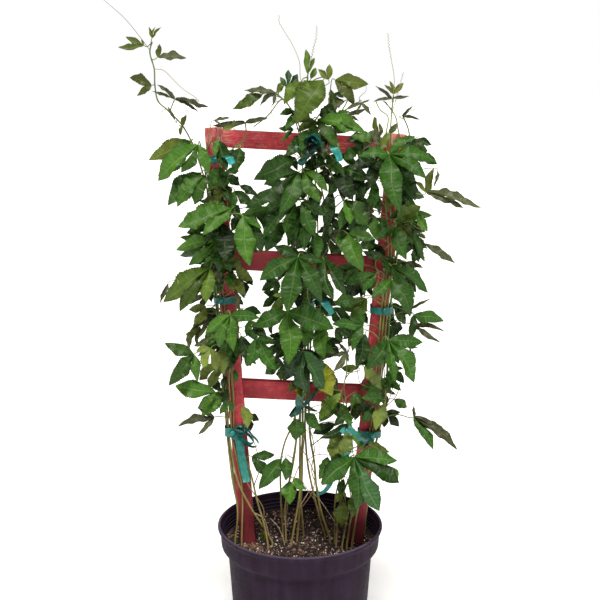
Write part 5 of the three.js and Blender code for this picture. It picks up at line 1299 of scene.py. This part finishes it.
for column, rows in FILLING.items():
    blades = []
    for i, (x, z, y, width, letters, tips) in enumerate(rows):
        seed = 100 * ord(column) + 7000 + i
        lean = (1.1 * (float(draw(seed, 1)) - 0.5), 0.1 + 0.6 * float(draw(seed, 2)))
        axes = blade_frame(seen(x, z, y), lean)
        lobes = lobes_of(axes, tips, (EYE_BACK + y) / EYE_BACK)
        owner = min((name for name in STEMS if name[0] == column),
                    key=lambda name: np.linalg.norm(coarse[name] - axes[0], axis=1).min())
        path, _ = petiole_path(coarse[owner], axes[0], on_rim(axes, lobes, 3), 0)
        blades += blade(axes, lobes, width, seed, letters, FEW_ACROSS)
        line = even_points(np.vstack([path, axes[0]]), 5.0)
        stem_skins[owner].append(round_bar(line, np.linspace(0.75, 0.55, len(line)), 5, tone=0.45))
    leaf_skins[f"small_{column}"] = blades

# The tone of each group of stems at the foot, set higher for the right group and a little for the
# left as painted light against the foliage's shade, the height from which the bark turns green and
# how far up it is all green, and how long the swelling round a joint is, in mm.
FOOT_TONES_WITH_PAINTED_LIGHT = {"L": 0.09, "C": 0.05, "R": 0.17}
BARK_TOP = 200
BARK_FADE = 330
SWELL_RUN = 2.6
for name, (*_, (thick, thin)) in STEMS.items():
    line = even_points(stem_knots(name), 3.0)
    line = np.vstack([[[*STEMS[name][0], STEM_FOOT]], line])
    run = run_of(line)
    slim = 0.78 + 0.14 * float(draw(ord(name[1]), ord(name[0])))
    r = (thick + (thin - thick) * run / run[-1]) * slim
    for root, swell in joints[name]:
        away = np.linalg.norm(line - root, axis=1)
        r = r * (1 + (swell - 1) * np.exp(-(away / SWELL_RUN) ** 2))
    wobble = lumps(line, 9.0, ord(name[0]) + int(name[1]))
    age = np.clip((line[:, 2] - BARK_TOP) / BARK_FADE, 0, 1) ** 0.8
    old = 0.22 * float(draw(ord(name[0]), 5 + ord(name[1])))
    tone = np.clip(FOOT_TONES_WITH_PAINTED_LIGHT[name[0]] + old * (1 - age) + 0.6 * age + 0.12 * wobble, 0, 1)
    stem_skins[name].append(round_bar(line, r * (1 + 0.05 * wobble), 8, tone=tone))

# ---------------------------------------------------------------- tendrils
# Thread-like tendrils reach out of the shoots. The upright ones have begun to coil in tight turns,
# and the ends of others curl into loose hooks. Long leaf stalks hang between the stems.

# One row a tendril: stem, depth, root to tip as (x, z) pairs, the share that is coiled, the coil's
# radius and pitch, and the tone: 0.2 dry and tan, 0.5 olive, 0.85 fresh green.
TENDRILS = [
    ("L1", -13, (-233, 1024, -248, 1044, -270, 1071, -290, 1089, -302, 1099, -309, 1103, -311, 1099),
     0, 0, 1, 0.1),
    ("L1", -15, (-227, 995, -213, 993, -199, 980, -186, 967, -172, 957, -163, 951, -158, 945),
     0.2, 0.8, 5, 0.2),
    ("C3", -18, (11, 958, 1, 980, -1, 1006, -13, 1034, -25, 1053, -32, 1066, -32, 1076),
     0.25, 0.6, 6, 0.2),
    ("C3", -18, (12, 984, 16, 1000, 21, 1027, 25, 1042, 26, 1060), 0.75, 1.1, 5, 0.2),
    ("R3", -15, (145, 949, 147, 980, 142, 1009, 138, 1030, 136, 1049), 0.5, 1.0, 5, 0.2),
    ("R3", -15, (144, 925, 153, 958, 161, 990), 0.7, 1.0, 4.5, 0.2),
    ("R1", 0, (160, 918, 170, 929, 182, 933, 195, 936), 0.7, 0.9, 4.5, 0.2),
    ("R2", -8, (155, 868, 172, 876, 183, 882, 195, 890), 0, 0, 1, 0.5),
    ("R1", 0, (162, 752, 178, 755, 186, 747, 198, 743, 210, 750), 0.3, 0.8, 5, 0.2),
    ("C6", -10, (95, 943, 93, 951, 103, 962, 103, 971), 0, 0, 1, 0.5),
    ("C1", -11, (-27, 949, -44, 940, -45, 928, -35, 915, -24, 912, -14, 916), 0.3, 0.8, 5, 0.2),
    ("L2", -10, (-139, 656, -152, 645, -163, 620, -170, 600), 0.4, 2.2, 7, 0.2),
    ("L1", -20, (-210, 934, -216, 930, -217, 922, -211, 918, -207, 925, -214, 927), 0, 0, 1, 0.2),
    ("L1", -20, (-186, 909, -176, 932, -166, 949, -160, 945, -163, 938), 0, 0, 1, 0.2),
    ("C6", -46, (40, 862, 47, 836, 55, 826, 60, 838, 52, 856, 36, 870, 20, 868), 0, 0, 1, 0.85),
    ("C3", -40, (12, 850, 26, 842, 44, 846, 60, 838), 0, 0, 1, 0.85),
    ("R3", -30, (140, 786, 158, 782, 172, 764, 190, 750, 206, 752), 0.2, 0.8, 5, 0.2),
    ("L2", -16, (-140, 600, -160, 604, -170, 596, -174, 586, -168, 580, -164, 588), 0.5, 1.8, 6, 0.2),
    ("C2", -24, (-4, 420, -16, 424, -22, 414, -20, 404), 0, 0, 1, 0.2),
    ("C5", -20, (20, 400, 30, 384, 33, 350, 31, 312), 0.8, 0.6, 8, 0.2),
    ("R5", -36, (118, 440, 132, 436, 140, 424, 134, 414, 126, 408), 0.85, 2.6, 6, 0.13),
]
# One row a stalk: stem, depth, root to tip as (x, z) pairs, thickness and tone.
STALKS = [
    ("L3", -19, (-113, 410, -124, 436, -140, 447), 1.0, 0.1),
    ("L4", -20, (-111, 410, -121, 440, -134, 468), 1.0, 0.16),
    ("L2", -17, (-113, 412, -122, 446, -131, 486), 1.0, 0.3),
    ("L4", -22, (-108, 414, -116, 450, -117, 500, -110, 540), 1.1, 0.2),
    ("L5", -24, (-100, 412, -110, 460, -112, 505, -104, 552), 0.9, 0.12),
    ("L5", -30, (-74, 300, -68, 340, -74, 372, -82, 398), 0.9, 0.05),
    ("L3", -28, (-52, 236, -62, 262, -84, 300, -94, 318), 1.1, 0.1),
    ("C1", -16, (-28, 232, -22, 290, -10, 350, -4, 398), 1.0, 0.24),
    ("C2", -24, (-20, 236, -16, 300, 4, 360, 8, 410), 1.0, 0.12),
    ("C5", -10, (40, 236, 30, 300, 20, 330, 24, 372, 16, 410), 1.0, 0.3),
    ("C3", -30, (2, 250, 20, 292, 25, 320, 14, 352, 2, 372), 0.9, 0.05),
    ("C6", -14, (44, 240, 26, 276, 14, 296, 2, 316), 0.9, 0.05),
    ("R4", -30, (72, 250, 74, 300, 66, 330, 62, 352), 1.0, 0.35),
    ("R2", -32, (92, 250, 84, 300, 86, 330, 90, 352), 1.1, 0.4),
    ("R6", -34, (76, 457, 70, 478, 70, 462, 78, 434, 86, 420), 0.8, 0.06),
    ("R5", -34, (112, 470, 100, 486, 96, 500, 94, 512), 0.8, 0.1),
    ("R2", -26, (134, 424, 142, 452, 141, 486, 138, 520), 1.0, 0.45),
    ("R1", -16, (138, 426, 146, 448, 160, 464, 168, 496), 0.9, 0.06),
    ("R3", -22, (132, 430, 146, 452, 152, 470, 156, 490), 0.8, 0.12),
    ("R3", -30, (130, 700, 138, 676, 132, 640, 140, 620), 0.8, 0.1),
    ("R4", -26, (128, 720, 122, 690, 128, 664, 118, 640), 0.8, 0.3),
    ("C4", -44, (14, 700, 20, 672, 12, 640, 18, 610), 0.9, 0.4),
    ("C3", -40, (26, 800, 14, 764, 18, 740, 10, 716), 0.9, 0.3),
    ("C1", -38, (12, 860, 4, 820, 12, 790, 8, 752), 0.9, 0.4),
]


def strand(name, depth, flat):
    """The knots of a strand as seen from the front, the first moved to the stem that bears it."""
    knots = np.array([seen(x, z, depth) for x, z in np.reshape(flat, (-1, 2))])
    stem = even_points(coarse[name][1:], 1.0)
    knots[0] = stem[np.linalg.norm(stem - knots[0], axis=1).argmin()]
    return knots


# A tendril's radius at its root and its tip, and how much of a stalk's radius its tip keeps.
TENDRIL_THICK = (0.55, 0.32)
STALK_TIP = 0.75
for name, depth, flat, coiled, radius, pitch, tone in TENDRILS:
    line = even_points(strand(name, depth, flat), 0.5 if coiled else 2.0)
    run = run_of(line)
    if coiled:
        along = headings(line)
        side = np.cross(along, [0, 1.0, 0])
        over = np.cross(along, side)
        grow = np.clip((run / run[-1] - (1 - coiled)) * 6, 0, 1)[:, None] * radius
        turn = (2 * np.pi * run / pitch)[:, None]
        line = line + grow * (side * np.cos(turn) + over * np.sin(turn))
    r = np.linspace(*TENDRIL_THICK, len(line))
    stem_skins[name].append(round_bar(line, r, 5 if coiled else 6, tone=tone,
                                      lean=np.array([0, 1.0, 0]) if coiled else None))
for name, depth, flat, thick, tone in STALKS:
    line = even_points(strand(name, depth, flat), 3.0)
    r = np.linspace(thick, STALK_TIP * thick, len(line))
    stem_skins[name].append(round_bar(line, r, 6, tone=tone))

# Vine bark and green stem: tan and finely ridged at the foot, smooth, waxy olive to fresh green
# above, where the stalks and tendrils are paler.
vine_stem, tree, shader = new_finish("vine_bark_and_green_stem")
shade = add(tree, "Attribute", "Fac", attribute_name="tone")
along = add(tree, "UVMap", "UV", uv_map="along")
ridge_run = add(tree, "Mapping", "Vector", {"Vector": along, "Scale": (120.0, 1400.0, 1.0)})
ridge = add(tree, "TexNoise", "Fac", {"Vector": ridge_run, "Scale": 1.0, "Detail": 3.0})
nudge = add(tree, "MapRange", 0, [ridge, 0.0, 1.0, -0.14, 0.14])
both = add(tree, "Math", 0, [shade, nudge], operation="ADD")
tint = add(tree, "ValToRGB", "Color", {"Fac": both},
           stops=[(0.0, "#4f3c26"), (0.2, "#96804f"), (0.42, "#777339"), (0.66, "#4a5f25"),
                  (0.85, "#7b9647"), (1.0, "#9cb066")])
dull = add(tree, "MapRange", 0, [shade, 0.0, 1.0, 0.8, 0.42])
relief = add(tree, "Bump", "Normal", {"Height": ridge, "Strength": 0.35, "Distance": 0.0006})
feed(shader, {"Base Color": tint, "Roughness": dull, "Normal": relief})


def vein_lines(tree, u, across, where):
    """How near a point is to a vein, 0 to 1. With s twice the distance across, the midrib fades out
    from |s| 0.02 to 0.08, and side veins follow the fraction of u - 0.9|s| shaken by noise, so that
    they leave the midrib about every 6.5 mm."""
    midrib = add(tree, "MapRange", 0, [across, 0.01, 0.04, 1.0, 0.0])
    shake = add(tree, "TexNoise", "Fac", {"Vector": where, "Scale": 160.0, "Detail": 2.0})
    bent = add(tree, "Math", 0, [across, -1.8, u], operation="MULTIPLY_ADD")
    swept = add(tree, "Math", 0, [shake, 0.9, bent], operation="MULTIPLY_ADD")
    saw = add(tree, "Math", 0, [swept, 0.5], operation="PINGPONG")
    side = add(tree, "MapRange", 0, [saw, 0.02, 0.16, 0.4, 0.0])
    fade = add(tree, "MapRange", 0, [across, 0.2, 0.5, 1.0, 0.1])
    drawn = add(tree, "Math", 0, [side, fade], operation="MULTIPLY")
    return add(tree, "Math", 0, [midrib, drawn], operation="MAXIMUM")


def leaf_finish(name, stops, vein_code, vein_share, brim_code, rough, sheen):
    """A leaf face: its shade letter through a colour ramp, lighter or darker from lobe to lobe by
    a draw on the lobe's number, mottled, with veins drawn over it and a duller brim."""
    made, tree, shader = new_finish(name)
    shade = add(tree, "Attribute", "Fac", attribute_name="tone")
    along = add(tree, "UVMap", "UV", uv_map="along")
    where = add(tree, "TexCoord", "Object")
    u = add(tree, "SeparateXYZ", "X", {"Vector": along})
    v = add(tree, "SeparateXYZ", "Y", {"Vector": along})
    centred = add(tree, "Math", 0, [v, 0.5], operation="SUBTRACT")
    across = add(tree, "Math", 0, [centred], operation="ABSOLUTE")
    mottle = add(tree, "TexNoise", "Fac", {"Vector": where, "Scale": 85.0, "Detail": 5.0,
                                           "Roughness": 0.6})
    nudge = add(tree, "MapRange", 0, [mottle, 0.3, 0.7, -0.018, 0.018])
    both = add(tree, "Math", 0, [shade, nudge], operation="ADD")
    tint = add(tree, "ValToRGB", "Color", {"Fac": both}, stops=stops)
    vein = vein_lines(tree, u, across, where)
    share = add(tree, "Math", 0, [vein, vein_share], operation="MULTIPLY")
    veined = add(tree, "Mix", "Result", {"Factor": share, "A": tint, "B": linear(vein_code)},
                 data_type="RGBA")
    brim = add(tree, "MapRange", 0, [across, 0.4, 0.5, 0.0, 0.55])
    edged = add(tree, "Mix", "Result", {"Factor": brim, "A": veined, "B": linear(brim_code)},
                data_type="RGBA")
    part = add(tree, "Math", 0, [u, 1 / LOBE_RUN], operation="MULTIPLY")
    number = add(tree, "Math", 0, [part], operation="FLOOR")
    lot = add(tree, "TexWhiteNoise", "Value", {"W": number}, noise_dimensions="1D")
    mixed = add(tree, "Math", 0, [lot, mottle], operation="ADD")
    light = add(tree, "MapRange", 0, [mixed, 0.3, 1.7, 0.3, 1.44])
    toned = add(tree, "VectorMath", "Vector", {0: edged, "Scale": light}, operation="SCALE")
    dull = add(tree, "MapRange", 0, [mottle, 0.0, 1.0, rough, rough + 0.2])
    quilt = add(tree, "Math", 0, [mottle, vein], operation="SUBTRACT")
    relief = add(tree, "Bump", "Normal", {"Height": quilt, "Strength": 0.5, "Distance": 0.0009})
    feed(shader, {"Base Color": toned, "Specular IOR Level": sheen, "Roughness": dull,
                  "Normal": relief})
    return made


# The upper face has a smooth waxy cuticle, dark green with pale midribs. The under face is matt
# and greyer, with the midrib standing out.
leaf_upper = leaf_finish("leaf_cuticle", [
    (0.0, "#112408"), (0.07, "#19330b"), (0.19, "#274d10"), (0.33, "#365e16"), (0.46, "#62712f"),
    (0.57, "#46601a"), (0.67, "#82881c"), (0.78, "#525f20"), (0.88, "#264a25"), (1.0, "#464a31")],
    "#86a058", 0.26, "#1a2409", 0.34, 0.22)
leaf_under = leaf_finish("leaf_under_face", [
    (0.0, "#2c4420"), (0.07, "#365027"), (0.19, "#4a6a35"), (0.33, "#647f46"), (0.46, "#93a56f"),
    (0.57, "#7f9148"), (0.67, "#b9ac50"), (0.78, "#6f6f3b"), (0.88, "#435c50"), (1.0, "#5a583f")],
    "#9aad7e", 0.4, "#3d4526", 0.6, 0.2)

for name in STEMS:
    make_piece(f"stem_{name}", stem_skins[name], [vine_stem], "leaf_green", f"vine_{name}")
for name, blades in leaf_skins.items():
    make_piece(f"leaves_{name}", blades, [leaf_upper, leaf_under], "leaf_green",
               *([f"vine_{name}"] if name in STEMS else []), crease=70.0)

# ---------------------------------------------------------------- ties
# Green-blue plastic stretch tape is wound twice round the stems and the wood and knotted in front,
# with its ends left hanging. It is thin, so it gathers in creases and curls along its edges.

TAPE_THICK = 0.35


def strip(path, wide, half, cup, tone, seed):
    """A flat tape along a path: at each point five places across its width on the outer face and
    three back on the inner one. The face bulges by cup times 1 - s^2 and creases by lumps."""
    path = np.asarray(path, float)
    along = headings(path)
    wide = np.asarray(wide, float) - (np.asarray(wide, float) * along).sum(1)[:, None] * along
    wide /= np.linalg.norm(wide, axis=1)[:, None]
    up = np.cross(along, wide)
    s = np.array([1, 0.5, 0, -0.5, -1, -0.5, 0, 0.5])
    face = np.array([0, 1, 1, 1, 0, -1, -1, -1])
    half = np.broadcast_to(half, len(path))[:, None]
    spot = path[:, None] + (half * s)[..., None] * wide[:, None]
    crease = 0.35 * lumps(spot * [1, 1, 2.2], 3.2, seed)
    lift = face * TAPE_THICK / 2 + cup * (1 - s ** 2) + crease
    rings = spot + lift[..., None] * up[:, None]
    girth = np.array([1, 0.75, 0.5, 0.25, 0, 0.25, 0.5, 0.75, 1])
    return skin(rings, run_of(path) * MM, girth, tone=tone)


def lump(at, size, seed):
    """A pulled knot: a ball stretched to size (x, y, z) and pushed in and out by coarse lumps."""
    polar = np.linspace(0.06, np.pi - 0.06, 11)[:, None]
    a = 2 * np.pi * np.arange(14) / 14
    unit = np.stack([np.sin(polar) * np.cos(a), np.sin(polar) * np.sin(a),
                     -np.cos(polar) * np.ones(14)], axis=-1)
    body = unit * (1 + 0.3 * lumps(unit, 0.55, seed))[..., None] * size
    return skin(body + at, np.linspace(0, 0.01, 11), np.linspace(0, 1, 15), tone=0.5)


def outline_of(node, origin, roll, width):
    """The outer outline of a packed band: the points on its upper edge in the band's own plane,
    where u runs along it and v is the depth, with those inside the hull left out."""
    p = corners_of(node) - [origin[0], 0, origin[1]]
    c, s = math.cos(roll), math.sin(roll)
    u, w = p[:, 0] * c + p[:, 2] * s, p[:, 2] * c - p[:, 0] * s
    upper = np.abs(w - width / 2) < 0.02
    edge = sorted({(round(float(a), 3), round(float(b), 3)) for a, b in zip(u[upper], p[upper, 1])})

    def half(points):
        kept = []
        for q in points:
            while len(kept) > 1 and ((kept[-1][0] - kept[-2][0]) * (q[1] - kept[-2][1])
                                     - (kept[-1][1] - kept[-2][1]) * (q[0] - kept[-2][0])) <= 0:
                kept.pop()
            kept.append(q)
        return kept[:-1]

    return np.array(half(edge) + half(edge[::-1]))


BAND_STEP = 1.5
TURNS = 2


def wound_band(node, origin, roll, width, seed):
    """Two turns of tape round a band's outline. The outline is walked in even steps of 1.5 mm and
    rounded by a moving mean, the second turn lies 0.35 mm outside the first, and both ride up and
    down by a fifth of their width. A rolled band is wound narrower, and darker by painted shade."""
    corners = outline_of(node, origin, roll, width)
    loop = np.vstack([corners, corners[:1]])
    ruler = run_of(loop)
    count = int(ruler[-1] / BAND_STEP)
    s = np.arange(count) / count * ruler[-1]
    flat = np.stack([np.interp(s, ruler, loop[:, k]) for k in (0, 1)], axis=-1)
    for _ in range(2):
        flat = (np.roll(flat, 1, 0) + 2 * flat + np.roll(flat, -1, 0)) / 4
    run = np.roll(flat, -1, 0) - np.roll(flat, 1, 0)
    out = np.stack([run[:, 1], -run[:, 0]], -1) / np.linalg.norm(run, axis=1)[:, None]
    c, q = math.cos(roll), math.sin(roll)
    # A rolled band's tone is set to nothing, painted shade for a tie tucked in under the leaves.
    ride, slim, tone = (1, 1, 0.5) if roll == 0 else (0.6, 0.55, 0.0)
    t = np.arange(count + 3) / count
    i = np.arange(count + 3) % count
    turns = []
    for k in range(TURNS):
        uv = flat[i] + out[i] * (TAPE_THICK * k - 0.4)
        w = width * (0.12 * (2 * k - 1) + 0.1 * np.sin(2 * np.pi * (t + 0.3 * k) + seed)) * ride
        path = np.stack([origin[0] + uv[:, 0] * c - w * q, uv[:, 1],
                         origin[1] + uv[:, 0] * q + w * c], -1)
        wide = np.broadcast_to([q, 0, -c], path.shape)
        half = width * (0.42 + 0.06 * np.sin(7 * 2 * np.pi * t + seed + k)) * slim
        turns.append(strip(path, wide, half, cup=0.25, tone=tone, seed=seed + k))
    return turns, flat


def off_knot(at, points):
    """Points given from the knot as they are seen in the plane of the trellis: (across, depth, up)."""
    f = (EYE_BACK + at[1]) / EYE_BACK
    return np.array([seen(at[0] / f + x, EYE_UP + (at[2] - EYE_UP) / f + z, at[1] + y)
                     for x, y, z in points])


def tail(at, points, widths, turn, seed, tone=(0.3, 0.8)):
    """A loose end: a strip along the curve from the knot through its points, each given from the
    knot, its widths in mm and its turn about its own line in radians run between them evenly."""
    knots = off_knot(at, [(0, -1.6, 0), *points])
    path = even_points(knots, 2.0)
    t = np.linspace(0, 1, len(path)) * (len(knots) - 1)
    turn = np.interp(t, np.arange(len(knots)), turn)
    wide = np.stack([np.cos(turn), 0.6 * np.sin(turn), 0.2 * np.sin(turn)], -1)
    half = np.interp(t, np.arange(len(knots)), widths) / 2
    # The tone from the knot to the end paints the tape's light and shade along it.
    light = np.linspace(*tone, len(path)) + 0.12 * np.sin(0.9 * np.arange(len(path)))
    return strip(path, wide, half * (1 + 0.08 * np.sin(3.1 * np.arange(len(path)))), cup=0.5,
                 tone=light, seed=seed)


# Each tie: band centre (x, z), where no x stands for the middle of stem C4, then its roll in
# radians, its width, the knot's size, and the loose ends as (points, widths, turns, and the tone
# from the knot to the end where it isn't 0.3 to 0.8). The tones are painted light and shade.
TIES = {
    "tie_left_low": (0, 404, 0, 13, (5.5, 3.4, 5), [
        ([(10, -4, -10), (16, -9, -45), (24, -13, -87)], (11, 14, 13, 12),
         (0, 0, 0.1, 0.1), (0.0, 0.85))]),
    "tie_left_middle": (0, 629, 0, 10, (4, 2.8, 4), [
        ([(-7, -1.5, -3), (-13, -1, -10)], (6, 8, 6), (1.2, 1.2, 1))]),
    "tie_left_top": (0, 855, 0, 12, (4.5, 3.2, 4.5), [
        ([(7, -14, 3), (15, -36, 6), (23, -48, 4), (28, -48, -6)], (6, 8, 12, 13, 10),
         (1, 1, 0.8, 0.6, 0.4), (0.0, 0.95))]),
    "tie_centre_top": (None, 867, 0.72, 9, (6.5, 3.6, 6), [
        ([(2, -12, 13), (0, -26, 21), (-4, -38, 24), (-7, -40, 16)], (4, 4, 8, 11, 9),
         (0.8, 0.6, 0.4, 0.3, 0.3)),
        ([(18, -14, 22), (38, -30, 24), (50, -42, 21), (58, -44, 12), (61, -44, 1)],
         (4, 3, 3, 4, 12, 9), (0.8, 0.6, 0.4, 0.2, 0.2, 0.2))]),
    "tie_centre_middle": (0, 622, 0, 10, (4.5, 3.2, 4.5), [
        ([(12, -12, 6), (24, -34, 12), (35, -46, 4), (47, -48, -14)], (3, 3, 9, 13, 8),
         (1.2, 0.9, 0.5, 0.3, 0.3), (0.0, 0.75))]),
    "tie_centre_low": (None, 452, 0.78, 9, (4.5, 3.2, 5), [
        ([(3, -7, 5), (2, -10, 17), (6, -11, 30), (12, -10, 41)], (6, 9, 11, 11, 8),
         (0, 0, 0.2, 0.2, 0), (0.35, 0.0))]),
    "tie_right_middle": (0, 612, 0, 12, (5, 3.2, 5), []),
    "tie_right_low": (0, 400, 0, 11, (5, 3.4, 6), [
        ([(-5, -14, -12), (-10, -36, -12), (-20, -52, -4), (-32, -60, 8), (-42, -62, 12),
          (-49, -62, 5)], (8, 12, 14, 13, 6, 12, 11), (0.8, 0.6, 0.5, 0.4, 0.4, 0.3, 0.3), (0.0, 0.75)),
        ([(-8, -16, -16), (-23, -54, -25), (-42, -66, -33), (-58, -50, -50), (-64, -34, -69),
          (-69, -28, -86), (-77, -26, -98), (-89, -24, -105)], (4, 4, 3, 3, 7, 10, 10, 8, 4),
         (0.5, 0.5, 0.4, 0.4, 0.2, 0, -0.2, -0.5, -0.6), (0.4, 0.5))]),
}

# The loops of the bows, from the knot.
BOWS = {"tie_left_low": [
    [(6, -2, 10), (22, -5, 9), (35, -7, -5), (44, -8, -17), (39, -9, -24), (28, -8, -22), (14, -5, -8)],
    [(9, -4, 8), (22, -7, 2), (32, -9, -8), (36, -10, -15), (31, -10, -19), (22, -8, -14),
     (11, -5, -3)],
    [(4, -3, 4), (10, -6, 13), (19, -7, 12), (20, -8, 1), (10, -6, -4)],
], "tie_centre_top": [
    [(6, -10, 14), (4, -34, 32), (12, -48, 40), (26, -50, 38), (31, -50, 28), (22, -46, 22),
     (10, -30, 16)],
    [(8, -12, 14), (14, -36, 26), (25, -52, 34), (20, -54, 43), (10, -52, 38), (8, -42, 26)],
    [(8, -12, 12), (8, -38, 30), (18, -50, 32), (27, -52, 31), (20, -50, 24), (12, -36, 20)],
    [(6, -12, 14), (10, -40, 36), (18, -52, 37), (24, -52, 30), (16, -46, 26), (8, -30, 20)],
]}

# Soft PVC or polyethylene tie tape: saturated green-blue, half glossy, lighter where it is
# stretched, mottled by fine noise, and lighter or darker by each piece's tone, which paints the tape's
# light and shade.
tie_tape, tree, shader = new_finish("soft_plastic_tie_tape")
along = add(tree, "UVMap", "UV", uv_map="along")
where = add(tree, "TexCoord", "Object")
shade = add(tree, "Attribute", "Fac", attribute_name="tone")
pull_run = add(tree, "Mapping", "Vector", {"Vector": along, "Scale": (60.0, 7.0, 1.0)})
pull = add(tree, "TexNoise", "Fac", {"Vector": pull_run, "Scale": 1.0, "Detail": 4.0})
crease = add(tree, "TexNoise", "Fac", {"Vector": where, "Scale": 130.0, "Detail": 4.0})
both = add(tree, "Math", 0, [pull, crease], operation="ADD")
mean = add(tree, "Math", 0, [both, 0.36, 0.02], operation="MULTIPLY_ADD")
light = add(tree, "Math", 0, [shade, 0.24, mean], operation="MULTIPLY_ADD")
tint = add(tree, "ValToRGB", "Color", {"Fac": light},
           stops=[(0.28, "#033233"), (0.44, "#055b55"), (0.58, "#047a6f"), (0.72, "#2fb0bf")])
relief = add(tree, "Bump", "Normal", {"Height": light, "Strength": 0.6, "Distance": 0.0015})
feed(shader, {"Base Color": tint, "Roughness": 0.33, "Normal": relief})

for i, (node, (x0, z0, roll, width, size, ends)) in enumerate(TIES.items()):
    seed = 10 * i + 5
    if x0 is None:
        stem = coarse["C4"]
        k = np.argmax(stem[:, 2] > z0)
        t = (z0 - stem[k - 1, 2]) / (stem[k, 2] - stem[k - 1, 2])
        x0 = float(stem[k - 1, 0] + t * (stem[k, 0] - stem[k - 1, 0]))
    skins, flat = wound_band(node, (x0, z0), roll, width, seed)
    front = flat[flat[:, 1].argmin()]
    at = np.array([x0 + front[0] * math.cos(roll), front[1], z0 + front[0] * math.sin(roll)])
    middle = at + [0, 0.6 - size[1], 0]
    skins.append(lump(middle, np.array(size), seed + 2))
    skins.append(lump(middle + [0.45 * size[0], -0.3, 0.3 * size[2]], np.array(size) * 0.7, seed + 3))
    for points, widths, turn, *light in ends:
        skins.append(tail(at, points, widths, turn, seed + 4, *light))
    # Each later loop of a bow takes a lower tone, as painted shade, and those on a rolled band start
    # low.
    half, tone = (3.4, 0.5) if roll == 0 else (4.6, 0.1)
    for k, bow in enumerate(BOWS.get(node, ())):
        path = even_points(off_knot(at, bow), 1.5)
        wide = np.broadcast_to([0.25, 1.0, 0.2 + 0.2 * k], path.shape)
        skins.append(strip(path, wide, half, cup=0.6, tone=tone - 0.2 * k, seed=77 + k))
    make_piece(node.replace("tie", "tape"), skins, [tie_tape], "teal_tape", node, crease=60.0)

# ---------------------------------------------------------------- dry twig
# A leafless dead twig, grey-tan and peeling, stands in the soil left of the middle stems.
dead_wood, tree, shader = new_finish("dry_twig_bark")
where = add(tree, "TexCoord", "Object")
peel = add(tree, "TexNoise", "Fac", {"Vector": where, "Scale": 420.0, "Detail": 4.0})
tint = add(tree, "ValToRGB", "Color", {"Fac": peel},
           stops=[(0.3, "#6f5d4b"), (0.5, "#a8937c"), (0.7, "#c9b9a4")])
relief = add(tree, "Bump", "Normal", {"Height": peel, "Strength": 0.5, "Distance": 0.0006})
feed(shader, {"Base Color": tint, "Roughness": 0.85, "Normal": relief})

# Dry stalks that still hang between the stems: (stem, depth, root to tip as (x, z) pairs).
DRY_STALKS = [("C5", -14, (29, 288, 36, 276, 47, 259, 58, 241)),
              ("C5", -16, (20, 298, 8, 282, 0, 268)),
              ("L3", -24, (-66, 262, -62, 246, -57, 232, -53, 214)),
              ("R5", -32, (70, 270, 66, 250, 62, 232))]
dry = [round_bar(even_points(strand(name, depth, flat), 3.0), 0.7, 5)
       for name, depth, flat in DRY_STALKS]
make_piece("dry_stalks", dry, [dead_wood], "dry_wood")

TWIG = [(-27, -21, 165), (-27, -21, 212), (-31, -21, 226), (-39, -22, 243), (-50, -23, 256)]
line = even_points(TWIG, 2.0)
r = np.linspace(1.15, 0.6, len(line)) * (1 + 0.12 * lumps(line, 5.0, 2))
make_piece("dead_twig", [round_bar(line, r, 8)], [dead_wood], "dry_wood", "dry_twig")

# ---------------------------------------------------------------- seedling and fibres
# A self-sown green seedling stands beside the left upright, and loose coir-like peat fibres are
# heaped against the upright's foot.
seed_leaf = blade_frame((-61, -1, 208), (0.1, 0.1))
shoot = lobes_of(seed_leaf, (1, 17, -5, 13), 1.0)
stalk = round_bar([(-60, -2, 200), (-60.5, -1.6, 204), (-61, -1.4, 209)], 0.6, 6, tone=0.7)
stalk["paint"] = stalk["paint"] + 2
make_piece("weed_seedling", [*blade(seed_leaf, shoot, 0.36, 5151, "p", FEW_ACROSS), stalk],
           [leaf_upper, leaf_under, vine_stem], "leaf_green")

HEAP = (-84.0, -24.0)
HEAP_REACH = 17.0
HEAP_RISE = 5.0
FIBRES = 90
fibres = []
for i in range(FIBRES):
    d = draw(i, np.arange(7) + 50.0)
    r, a, way = HEAP_REACH * math.sqrt(d[0]), 2 * math.pi * d[1], math.pi * d[2]
    x, y = HEAP[0] + r * math.cos(a), HEAP[1] + 0.7 * r * math.sin(a)
    rise = HEAP_RISE * (1 - (r / HEAP_REACH) ** 2) * d[3]
    z = float(soil_height(np.array(x), np.array(y))) + rise - 0.4
    far = (5 + 8 * d[4]) * np.array([math.cos(way), math.sin(way), 0.3 * (d[5] - 0.5)])
    line = np.array([[x, y, z] - far / 2, [x, y, z + 1.2 * d[6]], [x, y, z] + far / 2])
    fibres.append(round_bar(even_points(line, 2.5), 0.35, 4, tone=0.55 + 0.45 * d[5]))
make_piece("peat_fibres", fibres, [bark], "potting_mix")
